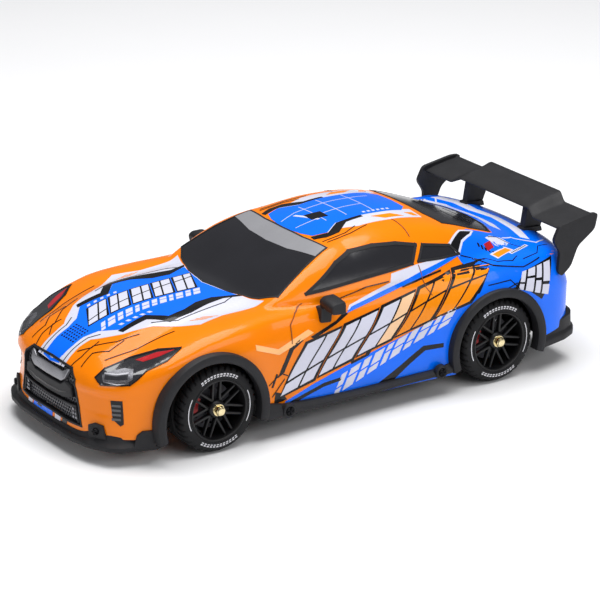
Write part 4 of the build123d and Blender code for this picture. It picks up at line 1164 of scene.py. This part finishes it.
# ---------------------------------------------------------------- wheels
def tyre_mesh(x, side):
    """Tyre: a closed section turned about the axle; the tread drops into slanted and circular grooves."""
    low, high = TYRE_Y
    width = high - low
    out = TYRE_R
    section = [(RIM_R - 0.2, 0.0), (RIM_R + 0.4, -0.1), (17.6, -0.2), (19.2, -0.1), (20.6, 0.3),
               (21.6, 0.9), (22.2, 1.8)]
    tread = [(out - 0.28 + 0.28 * (1 - ((k - 12) / 12) ** 4), 2.6 + (width - 5.2) * k / 24)
             for k in range(25)]
    rear = [(r, width - y) for r, y in reversed(section)]
    profile = np.array(section + tread + rear + [(RIM_R - 1.0, width - 1.5), (RIM_R - 1.0, 1.5)])
    count = 288
    t = np.linspace(0, 2 * np.pi, count, endpoint=False)[:, None]
    r, y = profile[:, 0][None, :] + 0 * t, profile[:, 1][None, :] + 0 * t
    band = (y - width / 2) / (width / 2)
    slant = np.mod(t * 36 / np.pi + np.abs(band) * 2.2, 2.0)
    sipe = (slant < 0.42) & (np.abs(band) > 0.34) & (r > 21.0)
    ring = (np.abs(np.abs(band) - 0.30) < 0.05) & (r > 21.0)
    r = np.where(sipe | ring, r - 0.8, r)
    points = np.stack([x + r * np.cos(t), side * (low + y), TYRE_R + r * np.sin(t)], -1)
    faces = grid_faces(count, len(profile), True, True)
    return points.reshape(-1, 3), outward(points.reshape(-1, 3), faces)


def sidewall_y(r):
    """Height of the outer sidewall over its radius."""
    return TYRE_Y[1] + np.interp(r, [16.2, 16.8, 17.6, 19.2, 20.6, 21.6], [0.0, 0.1, 0.2, 0.1, -0.3, -0.9])


def ink_patch(x, side, start, end, inner, outer, columns=16):
    """Printed patch on the sidewall between two angles and two radii."""
    t = np.radians(np.linspace(start, end, columns))[:, None]
    r = np.linspace(inner, outer, 4)[None, :]
    r, t = r + 0 * t, t + 0 * r
    points = np.stack([x + r * np.cos(t), side * (sidewall_y(r) + 0.07), TYRE_R + r * np.sin(t)], -1)
    faces = grid_faces(columns, 4)
    return points.reshape(-1, 3), (faces if side < 0 else faces[:, ::-1])


def tyre_ink(x, side):
    """Two thin arcs and two runs of slanted marks, opposite each other."""
    patches = []
    for turn in (0, 180):
        patches.append(ink_patch(x, side, turn - 24, turn + 30, 17.9, 18.35, 40))
        for k in range(12):
            start = turn + 57 + k * 5.8
            patches.append(ink_patch(x, side, start, start + 3.9, 18.0, 18.5, 5))
            patches.append(ink_patch(x, side, start + 0.6, start + 4.5, 18.9, 19.6, 5))
    return patches


def spoke(shift, turn):
    """One arm of a parallel pair: a tapered bar that passes shift beside the axle, out to the barrel."""
    u = np.linspace(0, 1, 10)
    radius = 2.9 + (15.0 - 2.9) * u
    angle = np.radians(turn) + np.arcsin(shift / radius)
    half = 0.95 - 0.3 * u
    face = 61.3 + 1.3 * u
    deep = 2.6 - 0.8 * u
    section = [(-1.0, -1.0), (-1.0, -0.25), (-0.6, 0.0), (0.6, 0.0), (1.0, -0.25), (1.0, -1.0)]
    points = []
    for a, b in section:
        px = radius * np.cos(angle) - a * half * np.sin(angle)
        pz = radius * np.sin(angle) + a * half * np.cos(angle)
        points.append(np.stack([px, face + b * deep, pz], -1))
    return sweep(np.stack(points, 1))


SPOKE_PAIRS = 7
SPOKE_SHIFT = 2.1        # how far each spoke of a pair runs beside the axle
BOLT_CIRCLE = 3.9
BOLT = [(0.05, 62.4), (0.55, 62.3), (0.6, 61.8), (0.6, 60.8), (0.05, 60.8)]


def rim_meshes(x, side):
    """Barrel and lip, hub with small bolts, and seven pairs of parallel spokes."""
    edge = TYRE_Y[1]
    barrel = lathe_y([(RIM_R - 0.1, TYRE_Y[0] + 0.3), (RIM_R - 0.1, edge - 0.4), (RIM_R, edge + 0.1),
                      (RIM_R - 0.3, edge + 0.45), (RIM_R - 0.9, edge + 0.4), (15.2, edge - 0.2),
                      (14.9, edge - 1.6), (14.7, edge - 4.0), (14.7, TYRE_Y[0] + 0.3)], 0, 0)
    hub = lathe_y([(2.1, 53.2), (4.1, 53.2), (4.6, 58.0), (4.8, 61.6), (4.2, 62.6), (3.4, 63.0),
                   (2.1, 63.0)], 0, 0, 64)
    parts = [barrel, hub]
    for turn in np.arange(SPOKE_PAIRS) * 360 / SPOKE_PAIRS + 90:
        parts += [spoke(SPOKE_SHIFT, turn), spoke(-SPOKE_SHIFT, turn)]
        angle = np.radians(turn + 180 / SPOKE_PAIRS)
        parts.append(lathe_y(BOLT, BOLT_CIRCLE * np.cos(angle), BOLT_CIRCLE * np.sin(angle), 12))
    points, faces = merge(*parts)
    points = points * [1, side, 1] + [x, 0, TYRE_R]
    return points, faces


def nut_mesh(x, side):
    """Flanged lock nut: a washer, a hexagon with turned-down corners and a collar round the axle end."""
    t = np.linspace(0, 2 * np.pi, 72, endpoint=False)
    hexagon = 1 / np.cos(np.mod(t, np.pi / 3) - np.pi / 6)
    rows = [(2.06, 0.0, 0.0), (3.2, 0.0, 0.0), (3.3, 0.35, 0.0), (3.1, 0.7, 0.0), (2.35, 0.75, 1.0),
            (2.35, 2.3, 1.0), (2.3, 2.7, 0.4), (2.1, 2.8, 0.0), (2.0, 3.35, 0.0), (1.5, 3.6, 0.0),
            (0.9, 3.55, 0.0), (0.02, 3.55, 0.0)]
    points = np.stack([np.stack([r * (1 + (hexagon - 1) * k) * np.cos(t), np.full_like(t, 63.0 + y),
                                 r * (1 + (hexagon - 1) * k) * np.sin(t)], -1) for r, y, k in rows], 1)
    faces = grid_faces(len(t), len(rows), True, False)
    return points.reshape(-1, 3) * [1, side, 1] + [x, 0, TYRE_R], faces


for place, x in (("front", FRONT_X), ("rear", REAR_X)):
    for word, side in (("left", 1), ("right", -1)):
        body = f"front_{word}_wheel" if place == "front" else "rear_axle"
        label = f"{place}_{word}"
        solid_piece(f"{label}_tyre_rubber", [tyre_mesh(x, side)], rubber, (f"{label}_tyre",), 0.0, True,
                    body, "tyre_rubber")
        put(f"{label}_tyre_marks", *merge(*tyre_ink(x, side)), ink_white, body, "tyre_rubber", True)
        solid_piece(f"{label}_rim_spokes", [rim_meshes(x, side)], rim_black, (f"{label}_rim",), 0.2, False,
                    body, "rim_black")
        if place == "front":
            solid_piece(f"{label}_nut", [nut_mesh(x, side)], brass, (f"{label}_wheel_nut",), 0.0, False,
                        body, "brass")
solid_piece("rear_nuts", [nut_mesh(REAR_X, 1), nut_mesh(REAR_X, -1)], brass, ("rear_wheel_nuts",), 0.0,
            False, "rear_axle", "brass")

# ---------------------------------------------------------------- finishes of the CAD pieces
FINISHES = (
    (nylon, "chassis_tub front_bulkhead tie_rod battery_hatch power_switch bumper_beam rear_bridge "
            "rear_pod_frame front_left_arm front_right_arm front_left_knuckle front_right_knuckle"),
    (steel, "hinge_pins spring_guides front_spring_left front_spring_right rear_bearings drive_motor "
            "rear_axle_shaft pod_springs"),
    (disc_steel, "front_left_brake_disc front_right_brake_disc rear_brake_discs"),
    (caliper_red, "front_left_caliper front_right_caliper rear_calipers"),
    (servo_blue, "steering_servo receiver_box"),
    (wrap_blue, "battery_pack"),
    (acetal, "servo_horn switch_lever spur_gear"),
    (brass, "motor_pinion"),
)
for skin, nodes in FINISHES:
    for node in nodes.split():
        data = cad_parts[node].data
        data.materials.clear()
        data.materials.append(skin)

TAIL_LAMP = [(24, 47), (44, 46.5), (48, 50), (46, 54.5), (24, 54.5)]
sticker("tail_lamp_lenses", [TAIL_LAMP], from_back, lens_red, 2, solid=0.5, slot="red_lens",
        replaces=("tail_lamps",), step=1.4)
sticker("tail_lamp_rims", ribbon(closed(TAIL_LAMP), 0.8), from_back, trim_black, 4, slot="black_trim",
        solid=0.4)


# ---------------------------------------------------------------- stage
def stage_floor():
    """Plain pale floor just under the tyres, in metres."""
    reach, level = 6.0, -0.0004
    corners = [(-reach, -reach, level), (reach, -reach, level), (reach, reach, level), (-reach, reach, level)]
    mesh = bpy.data.meshes.new("floor")
    mesh.from_pydata(corners, [], [(0, 1, 2, 3)])
    floor = bpy.data.objects.new("floor", mesh)
    bpy.context.scene.collection.objects.link(floor)
    mesh.materials.append(material("studio_floor", "#F2F2F3", 0.005, (0.7, 0.8), 300, 40, 0.0))


def area_light(name, place, aim, size, power):
    """Soft box at a place, turned to its aim, in metres and watts."""
    data = bpy.data.lights.new(name, "AREA")
    data.shape = "RECTANGLE"
    data.size, data.size_y = size
    data.energy = power
    light = bpy.data.objects.new(name, data)
    light.location = place
    light.rotation_euler = (Vector(aim) - Vector(place)).to_track_quat("-Z", "Y").to_euler()
    bpy.context.scene.collection.objects.link(light)


stage_floor()
area_light("overhead_softbox", (-0.1, 0.0, 1.3), (0, 0, 0), (1.5, 1.1), 26)
area_light("left_softbox", (-0.3, 1.3, 0.75), (0, 0, 0.04), (1.3, 0.5), 6.0)
area_light("front_softbox", (1.3, 0.1, 0.5), (0, 0, 0.04), (0.6, 0.5), 2.6)
world = bpy.data.worlds.new("studio")
world.use_nodes = True
world.node_tree.nodes["Background"].inputs["Color"].default_value = (0.95, 0.96, 1.0, 1.0)
world.node_tree.nodes["Background"].inputs["Strength"].default_value = 0.16
bpy.context.scene.world = world

# Camera: a long lens from the front left, in degrees and metres.
AZIMUTH, ELEVATION, DISTANCE = 146.33, 20.24, 1.6946
AIM = Vector((-0.0137, 0.0, 0.038))
turn, rise = math.radians(AZIMUTH), math.radians(ELEVATION)
back = Vector((math.sin(turn) * math.cos(rise), -math.cos(turn) * math.cos(rise), math.sin(rise)))
bpy.context.scene.view_settings.view_transform = "Standard"
camera_data = bpy.data.cameras.new("camera")
camera_data.lens = 192.0
camera_data.sensor_width = 36.0
camera_data.shift_x = -0.0268
camera_data.shift_y = 0.0104
camera = bpy.data.objects.new("camera", camera_data)
camera.location = AIM + back * DISTANCE
camera.rotation_euler = (-back).to_track_quat("-Z", "Y").to_euler()
bpy.context.scene.collection.objects.link(camera)
bpy.context.scene.camera = camera
